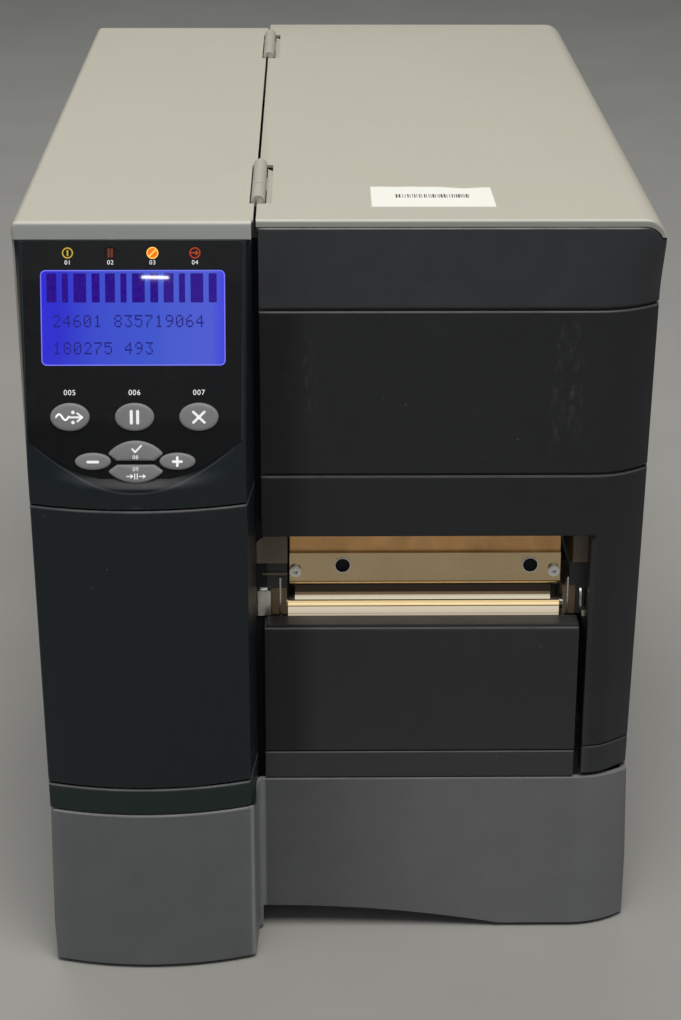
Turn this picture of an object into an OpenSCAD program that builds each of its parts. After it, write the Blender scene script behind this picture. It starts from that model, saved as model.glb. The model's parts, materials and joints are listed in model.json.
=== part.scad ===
// Desktop thermal label printer: steel covers, moulded front, hinged media door,
// lift-up print head, driven platen roller, ribbon spindles and a media hanger.
// Frame: +Z up, front towards -Y, +X to the right of someone facing the front.

/* [Body] */
// Half width of the painted covers at the top; the sides lean in towards the base
half_w = 139; // [138.5:0.5:139]
// Half width of the sides just above the base moulding
bot_w = 135.4; // [135.2:0.1:135.6]
// Height of the flat top of the covers
top_z = 350; // [348:1:351]
// Front plane of the right-hand half (distance in front of the origin)
front_d = 203.5; // [203:0.5:204]
// Back edge of the media door cover
door_back = 237.5; // [236:0.5:237.5]
// Back edge of the electronics cover
cover_back = 226.5; // [226:0.5:227]
// Sheet metal thickness of the covers
sheet = 1.2; // [1:0.1:1.5]
// Wall thickness of the mouldings
wall = 2.6; // [2.2:0.1:3]
// Top edge of the base moulding
base_top = 81.6; // [80:0.2:81.8]

/* [Pillar] */
// Middle of the control pillar
pillar_x = -88; // [-88.2:0.1:-87.8]
// Half width of the pillar where it meets the covers
pillar_hw = 50.2; // [50:0.1:50.3]
// Half width of the pillar at its front corners
front_hw = 47.7; // [47.5:0.1:48]
// Radius of the bowed pillar front
bow_r = 145; // [140:1:150]
// How far the pillar stands in front of the right-hand half
pillar_out = 34; // [33:0.5:34]
// Slope of the control face: forward travel per unit of drop
face_slope = 0.276; // [0.27:0.002:0.28]

/* [Mechanism] */
// Radius of the platen roller over its rubber
platen_r = 9.5; // [9:0.1:9.5]
// Platen axis, distance behind the origin (negative is forward)
platen_y = -176; // [-177:0.5:-175]
// Platen axis height
platen_z = 159; // [158.5:0.5:159]
// Pitch radius of the platen pulley
platen_pulley_r = 14; // [13:1:15]
// Pitch radius of the motor pulley
motor_pulley_r = 9; // [8:1:10]
// Radius of the media hanger bar
hanger_r = 12.5; // [12:0.1:12.6]
// Radius of the ribbon spindles
spindle_r = 12.5; // [12:0.1:12.6]

/* [Controls] */
// How far the keys stand proud of the overlay
key_proud = 1.6; // [1.2:0.1:2]
// Clearance round each key in the overlay
key_gap = 0.35; // [0.3:0.05:0.5]

/* [Hidden] */

yf = -front_d;                       // front plane of the right-hand half
ya = yf - pillar_out;                // foremost line of the pillar
fr = 1.6;                            // pillar corner radius
foot_w = 137.3;                      // half width of the base moulding at its foot
tilt = atan((half_w - bot_w) / (340 - base_top));   // lean of the sides
splay = atan((pillar_hw - front_hw) / 24.5);        // slant of the pillar's side walls in plan
alpha = atan(face_slope);            // lean of the control face
cr = 42;                             // right front corner radius
cx0 = 110;                           // where that corner starts
seam = 0.6;                          // gap between mouldings
gx = -36.5;                          // gap between the two covers
hx = -35.5;                          // hinge axis
hz = top_z + 0.4;
pil_seam = 231.3;
trim_seam = 95.4;
head_py = -112;                      // print head pivot
head_pz = 206;
motor_y = -120;
motor_z = 128;
col_cover = "#b9b4a5";
col_dark = "#28292b";
col_pillar = "#1c2326";
col_base = "#565858";
col_steel = "#a9aaa6";

// ---------- helpers ----------
function arc(x, y, r, a0, a1, n) = [for (i = [0:n]) let (a = a0 + (a1 - a0) * i / n) [x + r * cos(a), y + r * sin(a)]];
function oval(w, h, n = 36) = [for (i = [0:n - 1]) [w / 2 * cos(360 * i / n), h / 2 * sin(360 * i / n)]];
function rrect(x0, y0, x1, y1, r, n = 5) = concat(arc(x1 - r, y0 + r, r, -90, 0, n), arc(x1 - r, y1 - r, r, 0, 90, n),
   arc(x0 + r, y1 - r, r, 90, 180, n), arc(x0 + r, y0 + r, r, 180, 270, n));
module bx(a, b) { translate(a) cube([b[0] - a[0], b[1] - a[1], b[2] - a[2]]); }
module ex_x(x0, x1) { translate([x0, 0, 0]) rotate([90, 0, 90]) linear_extrude(x1 - x0) children(); }
module ex_y(y0, y1) { translate([0, y1, 0]) rotate([90, 0, 0]) linear_extrude(y1 - y0) children(); }
module ex_z(z0, z1) { translate([0, 0, z0]) linear_extrude(z1 - z0) children(); }
module cx(r, x0, x1, y, z) { translate([x0, y, z]) rotate([0, 90, 0]) cylinder(r = r, h = x1 - x0, $fn = 64); }
module cy(r, y0, y1, x, z) { translate([x, y1, z]) rotate([90, 0, 0]) cylinder(r = r, h = y1 - y0, $fn = 48); }
module cz(r, z0, z1, x, y) { translate([x, y, z0]) cylinder(r = r, h = z1 - z0, $fn = 48); }
// the control face: x right, y up the slope, z outwards, 0 at the overlay's skin
module face() { translate([pillar_x, yf - 3, 342]) rotate([90 - alpha, 0, 0]) children(); }

// ---------- outlines ----------
// bowed front edge of the pillar, inset by t
function edge_r(t) = max(fr - t, 0.4);
function edge_x(t, e) = front_hw + e - t - edge_r(t);
function edge_a(t, e) = asin(edge_x(t, e) / (bow_r - t - edge_r(t)));
function edge_y(t, e) = ya + bow_r - (bow_r - t - edge_r(t)) * cos(edge_a(t, e));
// el and er widen the left and right corner
function pillar_edge(t, el = 0, er = 0) = concat(
   arc(pillar_x + edge_x(t, er), edge_y(t, er), edge_r(t), 0, -90 + edge_a(t, er), 4),
   arc(pillar_x, ya + bow_r, bow_r - t, -90 + edge_a(t, er), -90 - edge_a(t, el), 18),
   arc(pillar_x - edge_x(t, el), edge_y(t, el), edge_r(t), -90 - edge_a(t, el), -180, 4));
function pillar_plan(t, yb) = concat(pillar_edge(t), [[pillar_x - pillar_hw + t, yb], [pillar_x + pillar_hw - t, yb]]);
// curved right front corner for a side wall at x = w, inset by t
function corner(w, t, n = 12) = let (a = asin((w - t - cx0) / (cr - t))) arc(cx0, yf + cr, cr - t, -90, -90 + a, n);
// half width of the leaning sides at height z
function side(z) = bot_w + (half_w - bot_w) * (z - base_top) / (340 - base_top);
// everything left of the leaning right side, inset by t
module flank(t) ex_y(-250, 250) polygon([[-200, -10], [side(-10) - t, -10], [side(360) - t, 360], [-200, 360]]);
// everything right of the pillar's leaning left wall, inset by t
module left_keep(t) translate([pillar_x - pillar_hw, yf, top_z]) rotate([0, -tilt, 0]) rotate([0, 0, splay]) bx([t, -80, -300], [300, 60, 30]);
// side profile of the bezel: sloping face, kick-out, straight front
function face_y(z, d) = yf - 3 + d - face_slope * (342 - z);

// ---------- base ----------
function base_plan(t, w, s) = concat(
   [[w - t, 229 - t], [-w + t, 229 - t], [-w + t, -203]],
   [for (i = [0:len(pillar_edge(t)) - 1]) pillar_edge(t, -2.7, 1.2)[len(pillar_edge(t)) - 1 - i]],
   arc(pillar_x + pillar_hw + s, yf - s, s + t, 180, 90, 4),
   [[cx0 - 20, yf + t]],
   corner(w, t));

module base_skirt() color(col_base) difference() {
   intersection() {
      ex_z(2, base_top) polygon(base_plan(0, foot_w, 3.5));
      ex_y(-300, 300) polygon([[-foot_w + 0.7, 0], [foot_w, 0], [foot_w, 34], [bot_w + 0.2, base_top], [-bot_w - 0.2, base_top], [-foot_w + 0.7, 34]]);
      // the left side of the pillar's foot leans in and turns in towards the front
      translate([-135.5, yf, 30]) rotate([0, 0.95, 0]) rotate([0, 0, 8.6]) bx([0, -80, -200], [400, 600, 100]);
   }
   ex_z(-1, base_top + 1) polygon(base_plan(wall, bot_w, 3.5));
   // shallow arch along the lower front edge
   ex_y(yf - 2, yf + 4) polygon(concat([[-36, 0], [78, 0], [78, 2]],
      [for (i = [0:10]) let (x = 76 - 11.2 * i) [x, 12.6 - 0.00085 * pow(x + 35, 2)]]));
}
module base_plate() color(col_steel) union() {
   ex_z(13, 15) polygon([[-132.2, -198], [118, -198], [132.4, -180], [132.4, 222], [-132.4, 222], [-132.4, -190]]);
   bx([-132.4, -188, 15], [-130.9, 222, 32]);
   bx([130.9, -150, 15], [132.4, 222, 32]);
}
module rubber_feet() color("#151515") for (x = [-108, 108], y = [-172, 196])
   translate([x, y, 0]) union() { cylinder(r = 10, h = 3, $fn = 48); translate([0, 0, 3]) cylinder(r = 8.5, h = 10, $fn = 48); }

// ---------- frame ----------
module centre_wall() color(col_steel) difference() {
   union() {
      bx([-34.6, -189.6, 15], [-33, 221, 338]);
      bx([-60, -189.6, 15], [-34.6, -188, 338]);
      bx([-33, -150, 15], [-16, 221, 16.6]);
   }
   cx(10, -40, -30, platen_y, platen_z);
   cx(6, -40, -30, motor_y, motor_z);
   bx([-56, -192, 141], [-40, -186, 178]);      // room for the platen pulley and belt
   for (y = [-60, 20, 100]) bx([-36, y, 40], [-32, y + 40, 52]);
}
rear_screws = [[-128.5, 118], [-128, 210], [-125, 320], [-60, 334], [30, 334], [124, 320], [124, 200], [124, 92], [-40, 92], [50, 92]];
module rear_panel() color(col_steel) difference() {
   bx([-132.4, 222, 15], [132.4, 223.6, 342]);
   bx([-122, 220, 88], [-92, 226, 112]);        // mains inlet
   bx([-82, 220, 89], [-60, 226, 111]);         // power switch
   bx([-118, 220, 262], [-58, 226, 276]);      // parallel port
   bx([-118, 220, 232], [-86, 226, 244]);      // serial port
   bx([-74, 220, 232], [-60, 226, 244]);       // usb port
   for (s = rear_screws) cy(1.6, 220, 226, s[0], s[1]);
   for (i = [0:8], x = [-118, -66]) ex_y(220, 226) polygon(rrect(x, 130 + 10 * i, x + 42, 133.4 + 10 * i, 1.6, 3));   // louvres
}
module cover_screws() color("#8c8d8a") for (s = rear_screws) union() {
   cy(3.4, 223.6, 225.4, s[0], s[1]);
   cy(1.5, 217, 223.6, s[0], s[1]);
}

// ---------- electronics cover ----------
module left_cover() color(col_cover) difference() {
   union() {
      ex_y(yf, cover_back) polygon(concat(
         [[-side(base_top + 0.8), base_top + 0.8], [-half_w, 340]], arc(-half_w + 3, top_z - 3, 3, 180, 90, 5), [[gx - 0.6, top_z], [gx - 0.6, top_z - sheet]],
         arc(-half_w + 3, top_z - 3, 3 - sheet, 90, 180, 5), [[-half_w + sheet, 340], [-side(base_top + 0.8) + sheet, base_top + 0.8]]));
      ex_y(yf - 3, yf) polygon(concat(
         [[-half_w, 342.3]], arc(-half_w + 3, top_z - 3, 3, 180, 90, 5), [[pillar_x + pillar_hw, top_z], [pillar_x + pillar_hw, 342.3]]));
      bx([-half_w + 2, cover_back - sheet, 343.2], [gx - 0.6, cover_back, top_z - 0.6]);
   }
   bx([-half_w + sheet, yf - 3 + sheet, 340], [pillar_x + pillar_hw + 1, yf + 1, top_z - sheet]);
   for (y = hinge_y) bx([hx - 3.7, y - 1, top_z - 3], [hx, y + 67, top_z + 1]);
}

// ---------- pillar ----------
module pillar_shell(z0, z1) difference() {
   intersection() {
      ex_z(z0, z1) polygon(concat(pillar_edge(0), [[pillar_x - pillar_hw, yf], [pillar_x + pillar_hw - wall, yf], [pillar_x + pillar_hw - wall, -190], [pillar_x + pillar_hw, -190], [pillar_x + pillar_hw, yf]]));
      left_keep(0);
   }
   intersection() {
      ex_z(z0 - 1, z1 + 1) polygon(pillar_plan(wall, yf + 1));
      left_keep(wall);
   }
}
function key_list() = [[-27.3, -74.7, 16.8, 12], [0.15, -74.7, 16.8, 12], [27.5, -74.7, 16.8, 12], [-17.8, -93.7, 15.4, 7.4], [18.2, -93.7, 15.4, 7.4]];
// arched key, grown by g: arc of radius r about (0.4, v), widest at 11.6, slanted in to half width w at its straight edge b
function arched(v, r, w, b, up, g) = let (a = asin((11.6 + 1.1 * g) / (r + g)), q = w + 0.414 * g) concat(
   arc(0.4, v, r + g, 90 * up - a, 90 * up + a, 14), [[0.4 - q * up, b - g * up], [0.4 + q * up, b - g * up]]);
module key_shape(i, g) {
   if (i < 5) translate([key_list()[i][0], key_list()[i][1]]) polygon(oval(key_list()[i][2] + 2 * g, key_list()[i][3] + 2 * g));
   else if (i == 5) polygon(arched(-100.15, 15.35, 8.25, -93.4, 1, g));
   else polygon(arched(-86.44, 16.66, 8.1, -95.1, -1, g));
}
leds = [-27.3, -9.3, 8.5, 26.4];
module pillar_bezel() color(col_pillar) difference() {
   intersection() {
      ex_z(pil_seam + seam / 2, 342) polygon(concat(pillar_edge(0), [[pillar_x - pillar_hw, yf], [pillar_x + pillar_hw - wall, yf], [pillar_x + pillar_hw - wall, -190], [pillar_x + pillar_hw, -190], [pillar_x + pillar_hw, yf]]));
      left_keep(0);
      ex_x(-140, -30) polygon([[-188, 342], [face_y(342, 0.83), 342], [face_y(242, 0.83), 242], [ya - 1, 237.5], [ya - 1, 230], [-188, 230]]);
   }
   intersection() {
      ex_z(pil_seam - 2, 342 - wall) polygon(pillar_plan(wall, yf + 1));
      left_keep(wall);
      ex_x(-140, -30) polygon([[yf + 2, 341], [face_y(342, 0.83 + wall), 341], [face_y(246, 0.83 + wall), 246], [ya + wall, 239.5], [ya + wall, 220], [yf + 2, 220]]);
   }
   face() {
      translate([0, -32.7, -8]) ex_z(0, 12) polygon(rrect(-37.5, -18.8, 37.5, 18.8, 1.5));
      for (i = [0:6]) ex_z(-9, 3) key_shape(i, i < 5 ? 0.8 : 0.9);
      for (x = leds) translate([x, -5.35, -8]) cylinder(r = 2.9, h = 12, $fn = 32);
   }
}
module pillar_panel() color(col_pillar) pillar_shell(trim_seam + seam / 2, pil_seam - seam / 2);
module pillar_trim() color(col_pillar) pillar_shell(base_top + seam, trim_seam - seam / 2);
module control_overlay() color("#121314") face() difference() {
   ex_z(-0.8, 0) polygon(concat(arc(-45.3, -1.9, 1.5, 180, 90, 4), arc(45.3, -1.9, 1.5, 90, 0, 4), [[45.6, -84]],
      [for (i = [0:12]) let (x = 45 - 7.5 * i) [x, -84.6 - 18.8 * (1 - pow(x / 45.6, 2))]], [[-45.6, -84]]));
   translate([0, -32.7, -2]) ex_z(0, 4) polygon(rrect(-39.2, -20.3, 39.2, 20.3, 2));
   for (i = [0:6]) ex_z(-2, 2) key_shape(i, key_gap);
   for (x = leds) translate([x, -5.35, -2]) cylinder(r = 2.6, h = 4, $fn = 32);
}
module lcd_lens() color("#3a44d0") face() translate([0, -32.7, 0]) ex_z(-0.8, -0.1) polygon(rrect(-39, -20.1, 39, 20.1, 2));
module lcd_module() color("#5c6b58") face() union() {
   translate([0, -32.7, 0]) ex_z(-8.4, -3.9) polygon([[-42, -22], [42, -22], [42, 22], [-42, 22]]);
   translate([0, -32.7, 0]) ex_z(-3.9, -1.4) polygon([[-36.5, -18], [36.5, -18], [36.5, 18], [-36.5, 18]]);
}
module led_pipes() color("#d08030") face() for (x = leds) translate([x, -5.35, -8]) cylinder(r = 2.4, h = 7.9, $fn = 32);
module display_board() color("#2f5a38") face() union() {
   ex_z(-11.4, -9.8) polygon([[-42, -100], [42, -100], [42, -2], [-42, -2]]);
   for (k = key_list()) translate([k[0], k[1], -9.8]) cylinder(r = 2, h = 2.4, $fn = 24);
   for (y = [-89.5, -98.3]) translate([0.4, y, -9.8]) cylinder(r = 1.6, h = 2.4, $fn = 24);
   for (x = leds) translate([x, -5.35, -9.8]) cylinder(r = 2, h = 1.7, $fn = 24);
}
// a key: cap above the overlay, skirt through the bezel and a retaining flange
module key(i) color("#6b6b6b") face() union() {
   ex_z(-5, key_proud) key_shape(i, 0);
   if (i < 3) ex_z(-5, -4) key_shape(i, 1.1);
   // the two small keys are held on their outer sides only
   if (i == 3 || i == 4) translate([i == 3 ? -1 : 1, 0, 0]) ex_z(-5, -4) key_shape(i, 0.5);
}
module key_feed() key(0);
module key_pause() key(1);
module key_cancel() key(2);
module key_minus() key(3);
module key_plus() key(4);
module key_select() key(5);
module key_exit() key(6);

// ---------- lower front ----------
module front_lower_panel() color(col_dark) difference() {
   ex_x(-34.4, 109.3) polygon([[yf, 96.2], [yf, 130], [yf + 0.8, 157.6], [yf + 1.6, 158.8], [-191, 159.2], [-191, 110], [-193, 96.2]]);
   ex_x(-31.9, 107) polygon([[yf + wall, 90], [yf + wall, 130], [yf + wall + 0.8, 156.4], [-188, 156.4], [-188, 90]]);
}
module front_lower_trim() color(col_dark) difference() {
   bx([-34.4, yf, base_top + 0.6], [109.3, -193, 95.6]);
   bx([-31.9, yf + wall, base_top], [107, -190, 97]);
}

// ---------- media door ----------
door_r = 10;
lip_a = asin(0.2);                   // where the rolled corner of the sheet ends over the front moulding
module door_shell() color(col_cover) difference() {
   union() {
      // top and right side in one bent sheet
      ex_y(-190, door_back) polygon(concat([[side(base_top + 1.4), base_top + 1.4]], arc(half_w - door_r, top_z - door_r, door_r, 0, 90, 8),
         [[gx + 0.6, top_z], [gx + 0.6, top_z - sheet]], arc(half_w - door_r, top_z - door_r, door_r - sheet, 90, 0, 8), [[side(base_top + 1.4) - sheet, base_top + 1.4]]));
      // the sheet over the front moulding, with its folded lip
      ex_y(yf, -190) polygon(concat(arc(half_w - door_r, top_z - door_r, door_r, lip_a, 90, 7),
         [[gx + 0.6, top_z], [gx + 0.6, top_z - sheet]], arc(half_w - door_r, top_z - door_r, door_r - sheet, 90, 13.2, 7)));
      ex_y(yf, yf + sheet) polygon(concat(arc(half_w - door_r, top_z - door_r, door_r, lip_a, 90, 7),
         [[gx + 0.6, top_z], [gx + 0.6, top_z - 3.2]], arc(half_w - door_r, top_z - door_r - 1.9, door_r - 1.3, 90, 26.63, 7)));
      bx([gx + 0.6, door_back - sheet, 340], [half_w - 7, door_back, top_z - 0.6]);
      ex_y(door_back - sheet, door_back) polygon([[side(base_top + 1.4) - 3, base_top + 1.4], [side(base_top + 1.4) - 0.6, base_top + 1.4], [side(340.5) - 0.6, 340.5], [side(340.5) - 3, 340.5]]);
   }
   for (y = hinge_y) bx([hx - 2, y - 1, top_z - 3], [hx + 5.8, y + 67, top_z + 1]);
   ex_x(130, 140) polygon(rrect(-70, 128, 190, 300, 12));
}
module door_window() color("#3c4a52", 0.6) translate([half_w, 0, 340]) rotate([0, tilt, 0]) ex_x(-sheet - 2.02, -sheet - 0.02) polygon(rrect(-78, -220, 198, -32, 14));
module leg_plan(t, yb, w = half_w) polygon(concat([[cx0 + 3 + t, yf + t + 0.03]], [for (p = corner(w, t)) if (p[0] > cx0 + 3.1 + t) p], [[w - t, yb], [cx0 + 3 + t, yb]]));
module door_plan(t, yb, w = half_w) polygon(concat([[gx + 1.2 + t, yf + t]], corner(w, t), [[w - t, yb], [gx + 1.2 + t, yb]]));
module head_plan(e, t, yb) polygon(concat([[gx + 1.2 + t, yf + t]], arc(half_w - 2.8 - e, yf + 2.8, 2.8 - min(t, 2.4), -90, 0, 6), [[half_w - e - t, yb], [gx + 1.2 + t, yb]]));
module door_front() color(col_dark) difference() {
   // straight-cornered head strip over the main panel with its rounded corner, and the leg beside the label exit
   intersection() {
      union() {
         ex_z(309, 341.6) head_plan(0, 0, -190.4);
         intersection() {
            ex_z(341.6, top_z - 3.4) head_plan(sheet + 0.2, 0, -190.4);
            ex_y(-300, -100) polygon(concat([[gx, 300], [half_w - 1.4, 300]], arc(half_w - door_r, top_z - door_r, door_r - 1.4, 0, 90, 8), [[gx, top_z - 1.4]]));
         }
         ex_z(204.3, 309) door_plan(0, -190.4);
         ex_z(base_top + 1.4, 204.3) leg_plan(0, -190.4);
      }
      flank(0);
   }
   // hollow behind each
   ex_z(311.4, top_z) head_plan(4, wall, -180);
   ex_z(206.9, 308.2) door_plan(wall, -180, bot_w);
   ex_z(base_top + 4, 203) leg_plan(wall, -180, bot_w);
   // the sill over the label exit stops short of the lifting head's path
   bx([-27, -193.1, 203], [107, -190, 207.6]);
   // clearance for the folded lip of the sheet above
   difference() {
      bx([gx, yf - 1, 341.6], [half_w + 1, yf + sheet + 0.1, top_z]);
      ex_y(yf - 2, yf + 4) polygon(concat([[gx - 1, 300], [half_w - 1.4, 300]], arc(half_w - door_r, top_z - door_r - 1.9, door_r - 1.4, 0, 90, 8), [[gx - 1, top_z - 3.3]]));
   }
   // styling seams
   for (z = [308.4, 234.0]) difference() {
      ex_z(z, z + 0.6) door_plan(-1, -193);
      ex_z(z - 1, z + 1.7) door_plan(0.8, -180, side(z));
   }
   difference() {
      ex_z(97.9, 98.6) leg_plan(-1, -193);
      ex_z(97, 99.6) leg_plan(0.8, -180, side(98));
   }
}

// ---------- hinges ----------
hinge_y = [-176, 138];
module hinge_fixed_leaves() color(col_cover) for (y = hinge_y) difference() {
   union() {
      for (k = [0, 44]) {
         cy(3.1, y + k, y + k + 22, hx, hz);
         ex_y(y + k, y + k + 22) polygon([[hx - 3.1, hz], [hx - 1.2, hz - 0.2], [hx - 1.9, hz - 4], [hx - 1.9, 330], [hx - 3.1, 330]]);
      }
      ex_y(y, y + 66) polygon([[hx - 3.1, 333], [hx - 1.9, 333], [hx - 1.9, 331.2], [-34.6, 331.2], [-34.6, 318], [-35.8, 318], [-35.8, 330], [hx - 3.1, 330]]);
   }
   cy(1.25, y - 1, y + 67.4, hx, hz);
}
module hinge_pins() color("#8f8d84") for (y = hinge_y) union() {
   cy(1.25, y, y + 66.2, hx, hz);
   cy(2.1, y - 0.8, y, hx, hz);
}
module door_hinge_leaves() color(col_cover) for (y = hinge_y) difference() {
   union() {
      cy(3.1, y + 22.3, y + 43.7, hx, hz);
      ex_y(y + 22.3, y + 43.7) polygon([[hx + 1.3, hz - 0.1], [hx + 3.1, hz - 0.1], [hx + 3.7, top_z - 0.5], [hx + 3.7, top_z - 2], [hx + 2.4, top_z - 2], [hx + 2.4, hz - 1.9]]);
      // the leaf under the sheet, seen beside the knuckles
      ex_y(y + 0.6, y + 61) polygon([[hx + 3.5, top_z - 0.4], [hx + 5.2, top_z - sheet], [hx + 24, top_z - sheet], [hx + 24, top_z - sheet - 1.2], [hx + 3.5, top_z - sheet - 1.2]]);
   }
   cy(1.3, y - 1, y + 67.4, hx, hz);
}

// ---------- print mechanism ----------
module print_frame() color("#8d877a") difference() {
   union() {
      ex_x(-33, -27) polygon([[-188, 120], [-188, 186], [-176, 198], [-176, 206], [-166, 216], [-102, 216], [-102, 120]]);
      ex_x(103.5, 108) polygon([[-188, 120], [-188, 166], [-184, 170], [-152, 170], [-146, 120]]);
      bx([-33, -188, 120], [108, -146, 146]);
      bx([-33, -188, 144], [108, -186.3, 158.4]);
      bx([-33, -146, 142], [108, -106, 146]);
      bx([98, -184, 15], [108, -150, 122]);
      bx([-33, -184, 15], [-28, -150, 122]);
   }
   cx(8, -35, -20, platen_y, platen_z);
   cx(8, 100, 115, platen_y, platen_z);
   cx(4, -35, -20, head_py, head_pz);
   bx([-27, -190, 149], [-23.6, -186, 160]);
   bx([101.1, -190, 149], [103.5, -186, 160]);
}
module platen_bearings() color("#c8c8c6") for (x = [-33, 103.5]) difference() {
   cx(8, x, x + (x < 0 ? 6 : 4.5), platen_y, platen_z);
   cx(4.05, x - 1, x + 8, platen_y, platen_z);
}
module tear_bar() color("#cfc7b6") ex_x(-23.5, 101) polygon([[-188, 158.4], [-190, 158.4], [-190, 165.2], [-189.7, 165.5], [-187.6, 164.4], [-186.3, 162.6], [-186.3, 158.4]]);
module head_pivot_rod() color("#b8b8b4") cx(4, -33, 99, head_py, head_pz);
module head_bracket() color("#6f6c66") difference() {
   union() {
      bx([-22, -180, 199.2], [100, -104, 201.4]);
      for (x = [-20, 90]) ex_x(x, x + 6) polygon([[-124, 201], [-100, 201], [-104, 213], [-120, 213]]);
      bx([94, -158, 201], [100, -142, 214]);
      cx(3, 99, 113.5, -150, 207.5);
   }
   cx(4.06, -40, 120, head_py, head_pz);
   for (x = [5, 74]) cz(2.6, 198, 203, x, -158);
}
module head_heatsink() color("#8a5f38") difference() {
   bx([-22.8, -183, 176], [101.6, -160, 199.2]);
   for (x = [-20, 98.4]) cy(1.6, -184, -180.2, x, 179.6);
   bx([-24, -178, 184], [103, -165, 190]);
}
module print_head() color("#3a3028") union() {
   bx([-20.5, -180, 170.6], [98, -164, 176]);
   bx([-20.5, -178.5, 169.1], [98, -170, 170.6]);
}
module head_plate() color("#b9b3a4") difference() {
   ex_x(-22.8, 101.6) polygon(concat([[-183, 188.2], [-184.6, 188.2], [-184.6, 175]], arc(-181.6, 174.6, 3, 182, 262, 6), arc(-181.6, 174.6, 1.4, 262, 182, 6), [[-183, 175]]));
   cy(3.3, -190, -180, 1.6, 182.1);
   cy(3.3, -190, -180, 87.6, 182.1);
   for (x = [-20, 98.4]) cy(1.6, -190, -180, x, 179.6);
}
module head_screws() color("#d4d2cc") for (x = [-20, 98.4]) difference() {
   union() { cy(2.7, -186.4, -184.6, x, 179.6); cy(1.5, -184.6, -180.4, x, 179.6); }
   cy(1.1, -187, -185.4, x, 179.6);
}
module pressure_toggles() color("#9a9a98") for (x = [5, 74]) union() {
   cz(2.5, 199.4, 226, x, -158);
   cz(7, 201.4, 209, x, -158);
   cz(5.5, 209, 218, x, -158);
   cz(8, 218, 222, x, -158);
}
module latch_lever() color("#b08a2a") difference() {
   union() {
      cx(8, 108.6, 112.6, -150, 207.5);
      ex_x(108.8, 112.2) polygon([[-157, 204], [-162, 180], [-168, 174], [-168, 171.5], [-156, 171.5], [-152, 180], [-143, 204]]);
      ex_x(108.8, 112.2) polygon([[-157, 210], [-170, 236], [-168, 244], [-160, 244], [-143, 211]]);
      bx([102, -170, 238], [114, -160, 244]);
   }
   cx(3.05, 100, 120, -150, 207.5);
}

// ---------- platen drive ----------
module platen_shaft() color("#c4c4c0") cx(4, -58, 108.6, platen_y, platen_z);
module platen_rubber() color("#d9d2c0") difference() { cx(platen_r, -20.3, 97.5, platen_y, platen_z); cx(4, -30, 110, platen_y, platen_z); }
module pulley(x0, x1, r, y, z, bore) difference() {
   union() { cx(r, x0, x1, y, z); cx(r + 2, x0 - 1.2, x0, y, z); cx(r + 2, x1, x1 + 1.2, y, z); }
   cx(bore, x0 - 5, x1 + 5, y, z);
}
module platen_pulley() color("#2a2a2a") pulley(-52, -44, platen_pulley_r, platen_y, platen_z, 4);
module motor_pulley() color("#b8b8b4") union() {
   pulley(-52, -44, motor_pulley_r, motor_y, motor_z, 2.5);
   cx(2.5, -69.5, -42, motor_y, motor_z);
}
bl = sqrt(pow(motor_y - platen_y, 2) + pow(motor_z - platen_z, 2));
ba = atan2(motor_z - platen_z, motor_y - platen_y);
function belt(o) = let (t = acos((platen_pulley_r - motor_pulley_r) / bl)) concat(
   arc(platen_y, platen_z, platen_pulley_r + o, ba + t, ba + 360 - t, 28), arc(motor_y, motor_z, motor_pulley_r + o, ba - t, ba + t, 20));
module drive_belt() color("#1b1b1b") ex_x(-51.4, -44.6) difference() { polygon(belt(1.7)); polygon(belt(0.3)); }
module stepper_motor() color("#3f4043") difference() {
   union() {
      ex_x(-104, -60) polygon(rrect(motor_y - 24, motor_z - 24, motor_y + 24, motor_z + 24, 5));
      bx([-60, motor_y - 28, motor_z - 30], [-57.5, motor_y + 32, motor_z + 30]);
      cx(3, -57.6, -34.6, motor_y + 27, motor_z);
      cx(3, -57.6, -34.6, motor_y, motor_z + 26);
      cx(3, -57.6, -34.6, motor_y, motor_z - 26);
   }
   cx(2.56, -72, -50, motor_y, motor_z);
}

// ---------- media and ribbon ----------
module media_hanger() color("#4c4d50") union() { cx(hanger_r, -29.5, 112, 105, 195); cx(26, -33, -29.5, 105, 195); }
module media_guide() color("#33506a") difference() {
   union() { cx(48, 94, 97, 105, 195); cx(17, 97, 106, 105, 195); }
   cx(hanger_r + 0.06, 90, 110, 105, 195);
   for (a = [30:60:330]) cx(7, 90, 100, 105 + 34 * cos(a), 195 + 34 * sin(a));
}
spindles = [[20, 278], [-82, 282]];
module spindle_axles() color("#b8b8b4") for (s = spindles) union() { cx(5, -33, 103, s[0], s[1]); cx(9, -33, -31.6, s[0], s[1]); }
module spindle(s) difference() {
   union() {
      cx(spindle_r, -31.2, 101, s[0], s[1]);
      cx(21, -31.2, -28.6, s[0], s[1]);
      for (a = [0:120:240]) translate([0, s[0], s[1]]) rotate([a, 0, 0]) bx([-28.6, -1.5, 11], [96, 1.5, 15]);
   }
   cx(5.06, -40, 110, s[0], s[1]);
}
module supply_spindle() color("#2d2f31") spindle(spindles[0]);
module takeup_spindle() color("#2d2f31") spindle(spindles[1]);
module guide_bar() color("#b8b8b4") union() { cx(5, -33, 104, -58, 172); cx(9, -33, -31, -58, 172); cx(8, 104, 106, -58, 172); }
module media_sensor() color("#1e1e20") union() { bx([22, -132, 146], [42, -114, 153]); bx([26, -132, 153], [38, -118, 156]); }

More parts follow.
